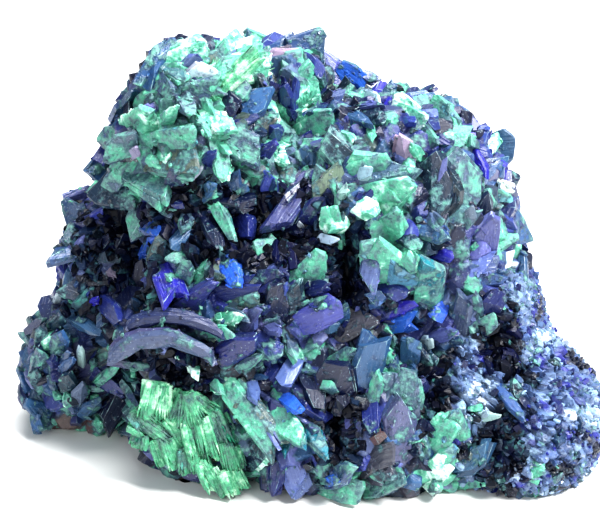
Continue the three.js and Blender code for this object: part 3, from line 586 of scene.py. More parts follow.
# Large crystals spread over the sides, the top and the back, down to a direction and a height.
# They stop where the surface faces the viewer by more than SPREAD_FRONT.
SPREAD_COUNT = 80
SPREAD_SEED = 20
SPREAD_FORMS = ["blade", "wedge", "plate", "lens"]
SPREAD_LENGTH = (8.0, 12.0)
SPREAD_WIDTH = (4.0, 6.5)
SPREAD_LEAN = (0.6, 1.15)
SPREAD_ROLL = (-0.7, 0.7)
SPREAD_STAND = 0.45
SPREAD_THINNER = 0.7
SPREAD_FRONT = 0.5
SPREAD_DOWN = -0.75
SPREAD_LOWEST = 3.0

# The drusy crust of the right flank starts this far across, further out higher up, and ends at a
# height. Its edge waves by about this much.
FLANK_X = 24.0
FLANK_SLOPE = 0.35
FLANK_RISE = 14.0
FLANK_TOP = 31.0
FLANK_WAVE = 2.0
FLANK_TOP_WAVE = 1.6

# Small crystals: forms, lean, turn and width as a share of the length.
SMALL_FORMS = ["blade", "wedge", "blade", "plate", "lens"]
SMALL_LEAN = (0.55, 1.15)
SMALL_TURN = 0.35
SMALL_WIDTH = (0.35, 0.62)
SMALL_THICKNESS = 0.5
SMALL_THICKNESS_LEAST = 0.2

# Small crystals between the drawn ones: the field they fill, length, brightness, how far they stand
# out of the mass.
FRONT_FILL_ACROSS = (-47, 48)
FRONT_FILL_UP = (-40, 40)
FRONT_FILL_PITCH = 3.2
FRONT_FILL_JITTER = 1.0
FRONT_FILL_LENGTH = (2.2, 3.8)
# Their lower brightness paints shade between the drawn crystals.
FRONT_FILL_SHADE = 0.6
FRONT_FILL_STAND = 0.24

# Small crystals of the sides, the top and the back.
SIDE_FILL_COUNT = 900
SIDE_FILL_DOWN = -0.85
SIDE_FILL_LOWEST = 0.6
SIDE_FILL_LENGTH = (4.0, 7.5)
SIDE_FILL_SHADE = 0.9
SIDE_FILL_STAND = 0.26

# Tiny plates grown on the drawn crystals, fewer away from the green ones of the dome.
ENCRUST_COUNT = 4200
ENCRUST_GREEN = 0.38
ENCRUST_ELSEWHERE = 0.3
ENCRUST_LENGTH = (0.45, 1.3)
ENCRUST_LEAN = 0.5
ENCRUST_SINK = 0.5
ENCRUST_WIDTH = (0.5, 0.9)
ENCRUST_THICKNESS = 0.3
ENCRUST_SHADE = (0.7, 1.4)
ENCRUST_BLOOM = 0.13

# The crust of crystal tips over the whole mass: how many, how high, how steep their faces, how far
# each reaches, and how far it falls beyond that. A pale rim runs along the edges between faces:
# partly wear, partly a painted edge highlight.
CRUST_COUNT = 3600
CRUST_DETAIL = 8
CRUST_DOWN = -0.95
CRUST_JITTER = 0.35
CRUST_TILT = 0.25
CRUST_NEAR = 7
CRUST_STEEPEST = 0.05
CRUST_SLACK = 0.15
CRUST_FALL = 2.0
CRUST_RIM = 0.25
CRUST_SPREAD = 0.6
CRUST_SHADE = 0.9
CRUST_FRONT = 0.3
NO_ROOF = 9.0
CRUST_HEIGHT = (-0.9, 1.2)
CRUST_RIDGE = (0.2, 1.5)
CRUST_SLOPE = (0.6, 1.1)
CRUST_REACH = (2.4, 0.9)
CRUST_DEEPEST = -1.8

# The drusy crust of the right flank: tips, tints from its pits to its palest parts, greenness. Its dark
# pits are painted shade.
DRUSE_COUNT = 16000
DRUSE_HEIGHT = (0.0, 0.75)
DRUSE_RIDGE = (0.05, 0.35)
DRUSE_TINTS = [
    "#141a2c", "#222e50", "#262c80", "#465a84", "#566c92", "#657a9c", "#7f9ab4", "#9db0c8", "#c4d0e0",
]
DRUSE_ORDER = 0.6
DRUSE_SHADE = (0.7, 1.3)
DRUSE_MOST = 0.9
DRUSE_BLOOMS = [0.1, 0.15, 0.2, 0.32]
# Below the pit level, and near a hollow, the crust turns navy: painted shade of pits.
DRUSE_PIT = -1.45
DRUSE_PIT_SWING = 0.5
DRUSE_PIT_SHADE = 0.6
DRUSE_HOLLOW = 1.15

# Tiny crystals that stand on the drusy crust.
GRAIN_COUNT = 40000
GRAIN_JITTER = 0.004
GRAIN_LOWEST = 0.4
GRAIN_LEAN = 0.5
GRAIN_LENGTH = 0.75
GRAIN_VARIETY = 0.42
GRAIN_LONGEST = 3.0
GRAIN_WIDTH = 0.6
GRAIN_THICKNESS = 0.5
GRAIN_SINK = 0.6

# Colours of malachite, from its dark beginnings to pale silky crusts.
GREEN_STOPS = [
    (0.3, "#14283a"),
    (0.42, "#32545f"),
    (0.52, "#547c7c"),
    (0.62, "#5c9888"),
    (0.74, "#4ca488"),
    (0.86, "#7ac6a8"),
    (1.0, "#d8f4ec"),
]
MOTTLE_SHADE = (0.5, 0.5, 0.6, 1)
# Pale flecks over the faces: painted glints.
GLINT_SPECK_COLOUR = "#a9bccb"
MALACHITE_WASH = (0.6, 0.74, 0.58, 1)
# A darkening wash over the faces in the hollows: painted shade.
HOLLOW_SHADE_WASH = (0.4, 0.44, 0.55, 1)
BUMP_DISTANCE = 0.0004
GREEN_ROUGHER = 0.22

# Soft studio lights: name, place in metres, size, power.
LIGHTS = [
    ("key", (0.24, -0.14, 0.36), 0.14, 3.7),
    ("fill", (-0.22, -0.45, 0.25), 0.3, 1.0),
    ("top", (-0.02, 0.08, 0.45), 0.2, 2.4),
]
LIGHT_AIM = (0, 0, 0.03)
STUDIO_COLOUR = (0.8, 0.92, 1.0, 1)
STUDIO_STRENGTH = 0.45
FLOOR_SIZE = 6
FLOOR_COLOUR = "#e9e8e6"
FLOOR_ROUGHNESS = 0.75

chance = np.random.default_rng(41)


def linear(code):
    """Linear colour of a hex code."""
    channels = [int(code[i:i + 2], 16) / 255 for i in (1, 3, 5)]
    return np.array([c / 12.92 if c <= 0.04045 else ((c + 0.055) / 1.055) ** 2.4 for c in channels])


def unit(vectors):
    """Vectors of length 1 in the same directions."""
    return vectors / np.linalg.norm(vectors, axis=-1, keepdims=True)


# The rounded mass

def place(across, up, depth):
    """Points seen at (across, up) on the drawing plane, this deep towards the viewer."""
    across, up, depth = np.broadcast_arrays(*[np.asarray(v, float) for v in (across, up, depth)])
    on_plane = MIDDLE + across[..., None] * np.array([1.0, 0, 0]) + up[..., None] * UP_VIEW
    return EYE + (on_plane - EYE) * ((VIEW_DISTANCE - depth) / VIEW_DISTANCE)[..., None]


def drawn_at(points):
    """Where points appear on the drawing plane."""
    ray = points - EYE
    ray = ray * (VIEW_DISTANCE / -(ray @ TO_VIEW))[..., None]
    seen = EYE + ray - MIDDLE
    return seen[..., 0], seen @ UP_VIEW


def ellipsoid_distance(points, centre, half):
    """Rough distance to the surface of an ellipsoid, negative inside."""
    return (np.linalg.norm((points - centre) / np.array(half), axis=-1) - 1) * min(half)


def mass_distance(points):
    """Rough distance to the surface of the mass, negative inside."""
    total = sum(np.exp(-LOBE_BLEND * ellipsoid_distance(points, at, half)) for _, at, half in LOBES)
    distance = -np.log(total) / LOBE_BLEND
    for _, at, half in HOLLOWS:
        distance = np.maximum(distance, -ellipsoid_distance(points, place(*at), half))
    return distance


def mass_normal(points):
    """Outward directions of the mass at points on it."""
    steps = SLOPE_STEP * np.eye(3)
    slopes = [mass_distance(points + step) - mass_distance(points - step) for step in steps]
    return unit(np.stack(slopes, -1))


def first_hit(start, end):
    """First points of the mass on the way from start to end, and which rays meet it."""
    inside = np.full(len(start), np.nan)
    for i in range(1, RAY_STEPS + 1):
        open_rays = np.isnan(inside)
        point = start[open_rays] + (end - start)[open_rays] * (i / RAY_STEPS)
        met = mass_distance(point) <= 0
        inside[np.flatnonzero(open_rays)[met]] = i / RAY_STEPS
    met = ~np.isnan(inside)
    high = np.where(met, inside, 1.0)
    low = high - 1 / RAY_STEPS
    for _ in range(RAY_HALVINGS):
        middle = (low + high) / 2
        outside = mass_distance(start + (end - start) * middle[:, None]) > 0
        low = np.where(outside, middle, low)
        high = np.where(outside, high, middle)
    return start + (end - start) * high[:, None], met


def mass_depth(across, up):
    """Depth of the mass behind places on the drawing plane, not a number beyond its edge."""
    across = np.atleast_1d(np.asarray(across, float))
    up = np.atleast_1d(np.asarray(up, float))
    hit, met = first_hit(place(across, up, DRAWING_REACH), place(across, up, -DRAWING_REACH))
    return np.where(met, (hit - MIDDLE) @ TO_VIEW, np.nan)


def mass_around(directions):
    """Points of the mass that are seen from outside along directions from its centre."""
    centre = np.broadcast_to(MASS_CENTRE, directions.shape)
    return first_hit(MASS_CENTRE + FAR_OUT * directions, centre)[0]


def hollow_distance(points):
    """Rough distance to the nearest hollow, negative inside it."""
    return np.minimum.reduce([ellipsoid_distance(points, place(*at), half) for _, at, half in HOLLOWS])


def number_stream(seed):
    """Evenly spread repeatable numbers between 0 and 1."""
    word = 0xFFFFFFFF
    state = seed
    while True:
        state = (state + 0x6D2B79F5) & word
        mixed = ((state ^ (state >> 15)) * (state | 1)) & word
        mixed ^= (mixed + (((mixed ^ (mixed >> 7)) * (mixed | 61)) & word)) & word
        yield ((mixed ^ (mixed >> 14)) & word) / 4294967296


# Crystal shapes, each modelled once: length along Y from 0, width along X, thickness along Z

def block(width, length, thickness):
    """A bar at its size, ready to be cut."""
    bpy.ops.object.select_all(action="DESELECT")
    bpy.ops.mesh.primitive_cube_add(size=1, location=(0, length / 2, 0))
    bar = bpy.context.active_object
    bar.scale = (width, length, thickness)
    bpy.ops.object.transform_apply(location=True, rotation=True, scale=True)
    return bar


def cut(planes):
    """Takes off what lies beyond each plane, leaving a flat facet."""
    bpy.ops.object.mode_set(mode="EDIT")
    for point, direction in planes:
        bpy.ops.mesh.select_all(action="SELECT")
        bpy.ops.mesh.bisect(plane_co=point, plane_no=direction, use_fill=True, clear_outer=True)
    bpy.ops.object.mode_set(mode="OBJECT")


def finish_shape(bar, bevel):
    """Bevels the edges, keeps the arrays of the shape and removes the model."""
    if bevel:
        bpy.ops.object.mode_set(mode="EDIT")
        bpy.ops.mesh.select_all(action="SELECT")
        bpy.ops.mesh.bevel(offset=bevel, segments=1, affect="EDGES", clamp_overlap=True)
        bpy.ops.object.mode_set(mode="OBJECT")
    bpy.ops.object.mode_set(mode="EDIT")
    bpy.ops.mesh.select_all(action="SELECT")
    bpy.ops.mesh.remove_doubles(threshold=MERGE_WITHIN)
    bpy.ops.mesh.normals_make_consistent(inside=False)
    bpy.ops.object.mode_set(mode="OBJECT")
    mesh = bar.data
    mesh.calc_loop_triangles()
    rim_faces = [is_rim(mesh, face, bevel) for face in mesh.polygons]
    shape = {
        "points": np.array([vertex.co[:] for vertex in mesh.vertices]),
        "triangles": np.array([tri.vertices[:] for tri in mesh.loop_triangles]),
        "rim": np.array([float(rim_faces[tri.polygon_index]) for tri in mesh.loop_triangles]),
    }
    bpy.data.objects.remove(bar)
    return shape


def is_rim(mesh, face, bevel):
    """Whether a face is one of the narrow bevels."""
    corners = [mesh.vertices[i].co for i in face.vertices]
    around = sum((corners[i] - corners[i - 1]).length for i in range(len(corners)))
    return 2 * face.area / around < BEVEL_SLACK * bevel


def faceted(width, length, thickness, bevel, planes):
    """A bar cut to flat facets, with narrow bevels along its edges."""
    bar = block(width, length, thickness)
    cut(planes)
    return finish_shape(bar, bevel)


def blade_shape():
    """A long blade with a pointed tip and bevelled broad faces."""
    return faceted(1, 3, 0.34, BEVEL, [
        ((0.5, 1.9, 0), (1, 0.5, 0.1)),
        ((-0.5, 2.3, 0), (-1, 0.9, -0.1)),
        ((0, 2.9, 0), (0.25, 1, 0.5)),
        ((0.4, 0, 0.17), (1, 0, 1.4)),
        ((-0.36, 0, 0.17), (-1, 0, 1.1)),
        ((0.42, 0, -0.17), (1, 0, -0.9)),
        ((-0.42, 0, -0.17), (-1, 0, -1.1)),
    ])


def lozenge_shape():
    """A blade that is widest in the middle."""
    return faceted(1, 2.6, 0.34, BEVEL, [
        ((0.5, 1.25, 0), (1, 0.55, 0.1)),
        ((-0.5, 1.5, 0), (-1, 0.75, -0.1)),
        ((0.5, 0.9, 0), (1, -0.35, 0)),
        ((-0.5, 0.9, 0), (-1, -0.3, 0)),
        ((0, 2.45, 0), (-0.2, 1, 0)),
        ((0.26, 1.3, 0.17), (0.5, 0.1, 1)),
        ((-0.3, 1.3, 0.17), (-0.8, 0.25, 1)),
    ])


def chisel_shape():
    """A thick blade that thins to a chisel edge."""
    return faceted(1, 2.8, 0.5, BEVEL, [
        ((0, 1.5, 0.25), (0.1, 0.3, 1)),
        ((0.1, 1.6, -0.25), (0.1, 0.32, -1)),
        ((0.5, 1.3, 0), (1, 0.22, 0.2)),
        ((-0.5, 1.8, 0), (-1, 0.45, 0.3)),
        ((0, 2.7, 0), (0.4, 1, 0)),
    ])


def rhomb_shape():
    """A blade with oblique ends and a long narrow side face."""
    return faceted(1, 3, 0.34, BEVEL, [
        ((0, 2.7, 0), (0.75, 1, 0.1)),
        ((0, 0.3, 0), (-0.75, -1, 0)),
        ((0.34, 1.5, 0.17), (1, 0, 1.2)),
        ((-0.44, 1.5, 0.17), (-1, 0.1, 0.8)),
        ((0.42, 1.5, -0.17), (1, 0, -1)),
    ])


def wedge_shape():
    """A stout crystal that widens from its root to a blunt tip of several faces."""
    return faceted(1, 2, 0.6, BEVEL, [
        ((0.28, 0, 0), (1, -0.3, 0)),
        ((-0.28, 0, 0), (-1, -0.3, 0)),
        ((0.35, 1.8, 0), (0.65, 1, 0.2)),
        ((-0.35, 1.75, 0), (-0.7, 1, 0.1)),
        ((0, 1.9, 0), (0.1, 1, 0.5)),
        ((0, 1.4, 0.28), (0.35, 0.55, 1)),
        ((-0.25, 1.2, 0.26), (-0.6, 0.3, 1)),
        ((0, 1.4, -0.28), (0.2, 0.5, -1)),
    ])


def plate_shape():
    """A plate with one oblique end that runs out into a sharp corner."""
    return faceted(1, 1.6, 0.26, THIN_BEVEL, [
        ((0.5, 1.15, 0), (1, 0.3, 0.15)),
        ((-0.5, 0.95, 0), (-0.75, 1, 0.1)),
        ((-0.5, 0.2, 0), (-1, -0.5, 0)),
        ((0.22, 0.8, 0.13), (0.4, 0.1, 1)),
        ((-0.2, 1.1, 0.13), (-0.1, 0.3, 1)),
    ])


def slab_shape():
    """A four-sided plate, narrow at the root."""
    return faceted(1, 1.6, 0.24, THIN_BEVEL, [
        ((0.5, 0.8, 0), (1, -0.25, 0)),
        ((0.05, 1.5, 0), (0.5, 1, 0.2)),
        ((-0.5, 0.7, 0), (-1, 0.2, 0)),
        ((-0.2, 0.9, 0.12), (-0.2, -0.08, 1)),
        ((0.25, 1.1, 0.11), (0.2, 0.3, 1)),
    ])


def shard_shape():
    """A three-sided plate."""
    return faceted(1, 1.7, 0.26, THIN_BEVEL, [
        ((0.5, 0.5, 0), (1, 0.62, 0.3)),
        ((-0.5, 1.2, 0), (-1, 0.15, 0.2)),
        ((-0.2, 1.62, 0), (-0.5, 1, 0)),
        ((0.1, 0.8, 0.13), (0.3, 0.25, 1)),
    ])


def lens_shape():
    """A leaf with a spine and a sharp rim."""
    return faceted(1, 2.4, 0.36, THIN_BEVEL, [
        ((0.5, 1.45, 0), (1, 0.62, 0)),
        ((0.3, 2.0, 0), (1, 1.2, 0.1)),
        ((-0.5, 1.6, 0), (-1, 0.8, 0)),
        ((0.5, 0.85, 0), (1, -0.42, 0)),
        ((-0.5, 0.95, 0), (-1, -0.5, 0)),
        ((0.06, 1.2, 0.18), (0.42, 0.06, 1)),
        ((0.06, 1.2, 0.18), (-0.3, -0.05, 1)),
    ])


def lip_shape():
    """A thick band arched sideways like an eyebrow, uneven and blunt at its ends."""
    bpy.ops.object.select_all(action="DESELECT")
    bpy.ops.mesh.primitive_cylinder_add(vertices=LIP_SIDES, radius=0.5, depth=1, location=(0, 0, 0))
    strip = bpy.context.active_object
    bpy.ops.object.mode_set(mode="EDIT")
    bpy.ops.mesh.select_all(action="SELECT")
    bpy.ops.transform.rotate(value=math.pi / 2, orient_axis="X", center_override=(0, 0, 0))
    for cut_at in LIP_CUTS:
        bpy.ops.mesh.select_all(action="SELECT")
        bpy.ops.mesh.bisect(plane_co=(0, cut_at, 0), plane_no=(0, 1, 0))
    bpy.ops.object.mode_set(mode="OBJECT")
    for vertex in strip.data.vertices:
        along = 2 * vertex.co.y
        taper = (1 - LIP_TAPER * abs(along) ** 5) * chance.uniform(*LIP_UNEVEN)
        aside = chance.uniform(-LIP_JITTER[0], LIP_JITTER[0])
        vertex.co.x = vertex.co.x * taper - LIP_ARCH * (1 - along ** 2) + aside
        vertex.co.z = vertex.co.z * taper * LIP_FLATNESS
        ahead = chance.uniform(-LIP_JITTER[1], LIP_JITTER[1])
        vertex.co.y = LIP_HALF_LENGTH + LIP_HALF_LENGTH * along + ahead
    return finish_shape(strip, 0)


def splinter_shape():
    """A fibre with few faces."""
    return faceted(1, 3, 0.8, 0, [
        ((0.3, 2.0, 0), (1, 0.35, 0.3)),
        ((-0.3, 2.2, 0), (-1, 0.3, 0.2)),
        ((0.3, 0, 0.3), (1, 0, 1)),
        ((-0.3, 0, 0.3), (-1, 0, 1)),
        ((0, 2.8, 0.2), (0.1, 1, 0.8)),
    ])


def grain_shape():
    """A tiny stubby crystal with few faces."""
    return faceted(1, 1.2, 0.8, 0, [
        ((0.3, 0.9, 0.1), (1, 0.6, 0.5)),
        ((-0.3, 0.9, 0.1), (-0.8, 0.7, 0.4)),
        ((0, 0.7, 0.3), (0.1, 0.3, 1)),
        ((0.2, 0.4, 0.3), (1, -0.2, 0.7)),
    ])


SHAPES = {
    "blade": [blade_shape(), lozenge_shape(), chisel_shape()],
    "rhomb": [rhomb_shape()],
    "wedge": [wedge_shape(), chisel_shape()],
    "plate": [plate_shape(), slab_shape(), shard_shape()],
    "lens": [lens_shape()],
    "lip": [lip_shape(), lip_shape()],
    "splinter": [splinter_shape()],
    "grain": [grain_shape()],
}


# Growing crystals: every copy gets its own place, tint and greenness

class Growth:
    """Copies of the crystal shapes that end up in one mesh."""

    def __init__(self):
        self.points = []
        self.triangles = []
        self.rims = []
        self.grain = []
        self.tints = []
        self.blooms = []
        self.count = 0

    def add(self, shape, root, tip, width, thickness, facing, tint, bloom, mirror=True):
        """A copy of a shape from root to tip, its broad side towards facing, never below the floor."""
        model = shape["points"].copy()
        triangles = shape["triangles"]
        reach = model[:, 1].max()
        share = model[:, 1] / reach - 0.5
        flare = chance.uniform(-FLARE, FLARE)
        skew = chance.uniform(-SKEW, SKEW)
        model[:, 0] = model[:, 0] * (1 + flare * share) + skew * share
        if mirror and chance.random() < 0.5:
            model[:, 0] *= -1
            triangles = triangles[:, ::-1]
        along = tip - root
        length = np.linalg.norm(along)
        along = along / length
        side = unit(np.cross(along, facing))
        front = np.cross(side, along)
        scaled = model * np.array([width, length / reach, thickness / np.ptp(model[:, 2])])
        points = root + scaled @ np.stack([side, along, front])
        points[:, 2] += max(0, -points[:, 2].min())
        self.points.append(points)
        self.triangles.append(triangles + self.count)
        self.rims.append(np.repeat(shape["rim"], 3))
        shift = chance.random(2) * GRAIN_SHIFT
        self.grain.append((scaled[:, :2] + scaled[:, 2:] * GRAIN_DEPTH + shift)[triangles.ravel()])
        self.tints.append(np.broadcast_to(np.append(tint, 1.0), (len(model), 4)))
        self.blooms.append(bloom + chance.normal(0, BLOOM_DRIFT) * share)
        self.count += len(model)

    def add_sheet(self, points, triangles, rim, grain, tints, blooms):
        """A ready surface, with one value of everything per point."""
        corners = triangles.ravel()
        self.points.append(points)
        self.triangles.append(triangles + self.count)
        self.rims.append(rim[corners])
        self.grain.append(grain[corners])
        self.tints.append(np.column_stack([tints, np.ones(len(points))]))
        self.blooms.append(blooms)
        self.count += len(points)

    def piece(self, name, material, slot):
        """One mesh of all the copies, riding on the specimen."""
        points = np.concatenate(self.points)
        points[:, 2] = np.maximum(points[:, 2], FLOOR_GAP)
        triangles = np.concatenate(self.triangles).astype(np.int32)
        mesh = bpy.data.meshes.new(name)
        mesh.vertices.add(len(points))
        mesh.vertices.foreach_set("co", (points * MM).astype(np.float32).ravel())
        mesh.loops.add(triangles.size)
        mesh.loops.foreach_set("vertex_index", triangles.ravel())
        mesh.polygons.add(len(triangles))
        mesh.polygons.foreach_set("loop_start", np.arange(0, triangles.size, 3, dtype=np.int32))
        mesh.update(calc_edges=True)
        mesh.validate()
        mesh.shade_flat()
        self.attribute(mesh, "tint", "FLOAT_COLOR", "POINT", "color", np.concatenate(self.tints))
        self.attribute(mesh, "bloom", "FLOAT", "POINT", "value", np.concatenate(self.blooms))
        self.attribute(mesh, "rim", "FLOAT", "CORNER", "value", np.concatenate(self.rims))
        grain = mesh.uv_layers.new(name="grain")
        grain.data.foreach_set("uv", np.concatenate(self.grain).astype(np.float32).ravel())
        mesh.materials.append(material)
        piece = bpy.data.objects.new(name, mesh)
        bpy.context.collection.objects.link(piece)
        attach(piece, "root")
        return piece

    @staticmethod
    def attribute(mesh, name, kind, domain, field, values):
        """A value that the materials read from the mesh."""
        layer = mesh.attributes.new(name, kind, domain)
        layer.data.foreach_set(field, np.ascontiguousarray(values, dtype=np.float32).ravel())


def finish_of(name, shade=1.0):
    """Tint and greenness of a finish, a little different on every crystal."""
    code, bloom = FINISHES[name]
    tint = linear(code) * shade * chance.uniform(*TINT_SHADE)
    tint = tint * chance.uniform(*TINT_HUE, 3)
    bloom = bloom + chance.normal(0, BLOOM_SPREAD)
    return np.clip(tint, 0, TINT_MOST), float(np.clip(bloom, 0, 1))


def turned(vector, axis, angle):
    """A vector turned about a unit axis."""
    across = np.cross(axis, vector)
    kept = axis * (axis @ vector) * (1 - math.cos(angle))
    return vector * math.cos(angle) + across * math.sin(angle) + kept


def leaning(normal, heading, lean, roll):
    """Direction and broad side of a crystal that leans out of a surface towards a heading."""
    level = turned(unit(np.array([-normal[1], normal[0], 0.01])), normal, heading)
    along = normal * math.cos(lean) + level * math.sin(lean)
    return along, turned(unit(normal - along * (normal @ along)), along, roll)


def pick(choices):
    """One of the choices, by chance."""
    return choices[int(chance.integers(len(choices)))]


def shape_for(form):
    """One of the shapes of a form."""
    return pick(SHAPES[form])


def front_crystals(growth):
    """The drawn crystals, each with a few smaller ones grown along it."""
    rows = FRONT_CRYSTALS
    root_depths = mass_depth([row[2] for row in rows], [row[3] for row in rows])
    tip_depths = mass_depth([row[4] for row in rows], [row[5] for row in rows])
    for row, root_depth, tip_depth in zip(rows, root_depths, tip_depths):
        form, finish, root_across, root_up, tip_across, tip_up, width, roll, lift = row
        on_outline = np.isnan(root_depth) or np.isnan(tip_depth)
        if np.isnan(root_depth):
            root_depth = 0.0 if np.isnan(tip_depth) else tip_depth
        if np.isnan(tip_depth):
            tip_depth = root_depth - TIP_DROP
        if form == "lip":
            root_depth = max(root_depth, tip_depth - LIP_TURN) + lift + ROOT_SINK
        root = place(root_across, root_up, root_depth - ROOT_SINK)
        tip = place(tip_across, tip_up, max(tip_depth, root_depth - TIP_DROP) + TIP_STAND * lift)
        along = unit(tip - root)
        root = root - along * ROOT_SINK
        facing = turned(unit(EYE - root), along, math.radians(roll))
        thickness = THICKNESS_SHARE[form] * width + THICKNESS_LEAST
        width = width * DRAWN_SWELL
        layered_crystal(growth, form, finish, root, tip, width, thickness, facing)
        if not on_outline:
            companions(growth, form, finish, root, tip, width, thickness, facing)


def layered_crystal(growth, form, finish, root, tip, width, thickness, facing):
    """A crystal of stacked sheets, the ones behind a little larger, turned and darker; the darkening is
    painted shade.
    """
    along = unit(tip - root)
    side = unit(np.cross(along, facing))
    for layer in range(LAYERS[form]):
        back = -facing * layer * thickness * LAYER_STEP
        drift = side * width * chance.uniform(-LAYER_DRIFT, LAYER_DRIFT) * layer
        turn = turned(facing, along, chance.normal(0, LAYER_TURN) * layer)
        grow = 1 + LAYER_GROWTH * layer
        start = root + back + drift
        end = tip + back + drift * LAYER_FAN - along * chance.uniform(*LAYER_SHORTER) * layer
        tint, bloom = finish_of(finish, 1 - LAYER_SHADE * layer)
        growth.add(shape_for(form), start, end, width * grow, thickness, turn, tint, bloom, form != "lip")


def companions(growth, form, finish, root, tip, width, thickness, facing):
    """Smaller crystals in nearly parallel growth beside and behind a larger one, never further out,
    darkened as painted shade.
    """
    along = unit(tip - root)
    side = unit(np.cross(along, facing))
    length = np.linalg.norm(tip - root)
    outermost = mass_distance(tip[None])[0]
    near_form = "blade" if form == "lip" else form
    for _ in range(COMPANION_COUNT):
        offset = side * width * chance.uniform(-COMPANION_BESIDE, COMPANION_BESIDE)
        offset = offset - facing * (thickness * chance.uniform(*COMPANION_BEHIND) + COMPANION_DEEPER)
        start = root + offset + along * length * chance.uniform(*COMPANION_START)
        lean = unit(along + COMPANION_LEAN * chance.normal(0, 1, 3))
        end = start + lean * length * chance.uniform(*COMPANION_LENGTH)
        turn = turned(facing, along, chance.normal(0, COMPANION_TURN))
        kind = finish if chance.random() < COMPANION_ALIKE else relative_of(finish)
        size = width * chance.uniform(*COMPANION_WIDTH)
        if mass_distance(end[None])[0] > outermost:
            continue
        thick = COMPANION_THICKNESS * size + COMPANION_THICKNESS_LEAST
        growth.add(shape_for(near_form), start, end, size, thick, turn, *finish_of(kind, COMPANION_SHADE))


def encrust(growth, host, count):
    """Small plates grown on the crystals, mostly on the green ones."""
    points = np.concatenate(host.points)
    triangles = np.concatenate(host.triangles)
    corners = points[triangles]
    normals = np.cross(corners[:, 1] - corners[:, 0], corners[:, 2] - corners[:, 0])
    blooms = np.concatenate(host.blooms)[triangles[:, 0]]
    tints = np.concatenate(host.tints)[triangles[:, 0], :3]
    across, up = drawn_at(corners[:, 0])
    granular = (across < DOME_RIGHT) & (up > DOME_LOW) & (blooms > ENCRUST_GREEN)
    weight = np.linalg.norm(normals, axis=1) * np.where(granular, 1.0, ENCRUST_ELSEWHERE)
    for number in chance.choice(len(triangles), count, p=weight / weight.sum()):
        share = chance.dirichlet([1, 1, 1])
        normal = unit(normals[number])
        along = unit(ENCRUST_LEAN * normal + unit(np.cross(normal, chance.normal(0, 1, 3))))
        length = chance.uniform(*ENCRUST_LENGTH)
        root = share @ corners[number] - along * length * ENCRUST_SINK
        tint = tints[number] * chance.uniform(*ENCRUST_SHADE)
        bloom = blooms[number] + chance.normal(0, ENCRUST_BLOOM)
        width = length * chance.uniform(*ENCRUST_WIDTH)
        growth.add(SHAPES["grain"][0], root, root + along * length, width, length * ENCRUST_THICKNESS,
                   normal, np.clip(tint, 0, TINT_MOST), bloom)


def ground_finish(across, up):
    """Finish of the ground at a place on the front: green on the dome, else like the crystals there."""
    if across < DOME_RIGHT and up > DOME_LOW and chance.random() < DOME_GREEN_SHARE:
        return pick(DOME_GREENS)
    middles = np.array([((row[2] + row[4]) / 2, (row[3] + row[5]) / 2) for row in FRONT_CRYSTALS])
    near = np.hypot(middles[:, 0] - across, middles[:, 1] - up).argsort()[:GROUND_NEAR]
    return relative_of(FRONT_CRYSTALS[int(chance.choice(near))][1])


def relative_of(finish):
    """Another finish of the same family, green or blue."""
    return pick(GREENS if FINISHES[finish][1] > GREEN_FINISH else BLUES)


def front_fill(growth):
    """Small crystals between the drawn ones, in the colours around them but darker: painted shade between
    the drawn crystals.
    """
    columns = np.arange(*FRONT_FILL_ACROSS, FRONT_FILL_PITCH)
    across, up = np.meshgrid(columns, np.arange(*FRONT_FILL_UP, FRONT_FILL_PITCH))
    across = across.ravel() + chance.uniform(-FRONT_FILL_JITTER, FRONT_FILL_JITTER, across.size)
    up = up.ravel() + chance.uniform(-FRONT_FILL_JITTER, FRONT_FILL_JITTER, up.size)
    depth = mass_depth(across, up)
    for a, b, d in zip(across, up, depth):
        if np.isnan(d):
            continue
        hit = place(a, b, d)
        if hollow_distance(hit) < HOLLOW_CLEAR:
            continue
        normal = mass_normal(hit[None])[0]
        finish = ground_finish(a, b)
        length = chance.uniform(*FRONT_FILL_LENGTH)
        small_crystal(growth, hit, normal, finish, length, FRONT_FILL_SHADE, FRONT_FILL_STAND)


def hollow_lining(growth, ground):
    """Small crystals on the walls of the hollows, darkened as painted shade, seen from the front and from
    beside it.
    """
    for _, (across, up, depth), (half_across, half_up, _) in HOLLOWS:
        count = int(LINING_DENSITY * half_across * half_up)
        spread_across = across + half_across * chance.uniform(-LINING_SPREAD, LINING_SPREAD, count)
        spread_up = up + half_up * chance.uniform(-LINING_SPREAD, LINING_SPREAD, count)
        for a, b in zip(spread_across, spread_up):
            from_beside = chance.random() < LINING_BESIDE
            start = EYE
            if from_beside:
                start = turned(EYE, UPRIGHT, chance.uniform(-LINING_TURN, LINING_TURN))
            hit, normal = ground.ray_cast(Vector(start), Vector(place(a, b, depth) - start))[:2]
            if hit is None or (from_beside and hollow_distance(np.array(hit)) > HOLLOW_REACH):
                continue
            finish = pick(LINING)
            length = chance.uniform(*LINING_LENGTH)
            hit, normal = np.array(hit), np.array(normal)
            small_crystal(growth, hit, normal, finish, length, LINING_SHADE, LINING_STAND)


def small_crystal(growth, hit, normal, finish, length, shade, stand):
    """A crystal leaning out of the surface, nearly parallel to its neighbours."""
    heading = flow(hit) + chance.normal(0, SMALL_TURN)
    lean = chance.uniform(*SMALL_LEAN)
    along, facing = leaning(normal, heading, lean, chance.normal(0, SMALL_TURN))
    width = length * chance.uniform(*SMALL_WIDTH)
    shape = shape_for(pick(SMALL_FORMS))
    root = hit - along * length * (1 - stand)
    tip = hit + along * length * stand
    thickness = width * SMALL_THICKNESS + SMALL_THICKNESS_LEAST
    growth.add(shape, root, tip, width, thickness, facing, *finish_of(finish, shade))


def flow(point):
    """Angle of the lean of the small crystals, which changes slowly over the specimen."""
    x, y, z = point
    return 2.6 * math.sin(0.16 * x + 0.9) + 2.4 * math.sin(0.19 * z - 0.11 * y + 1.7)


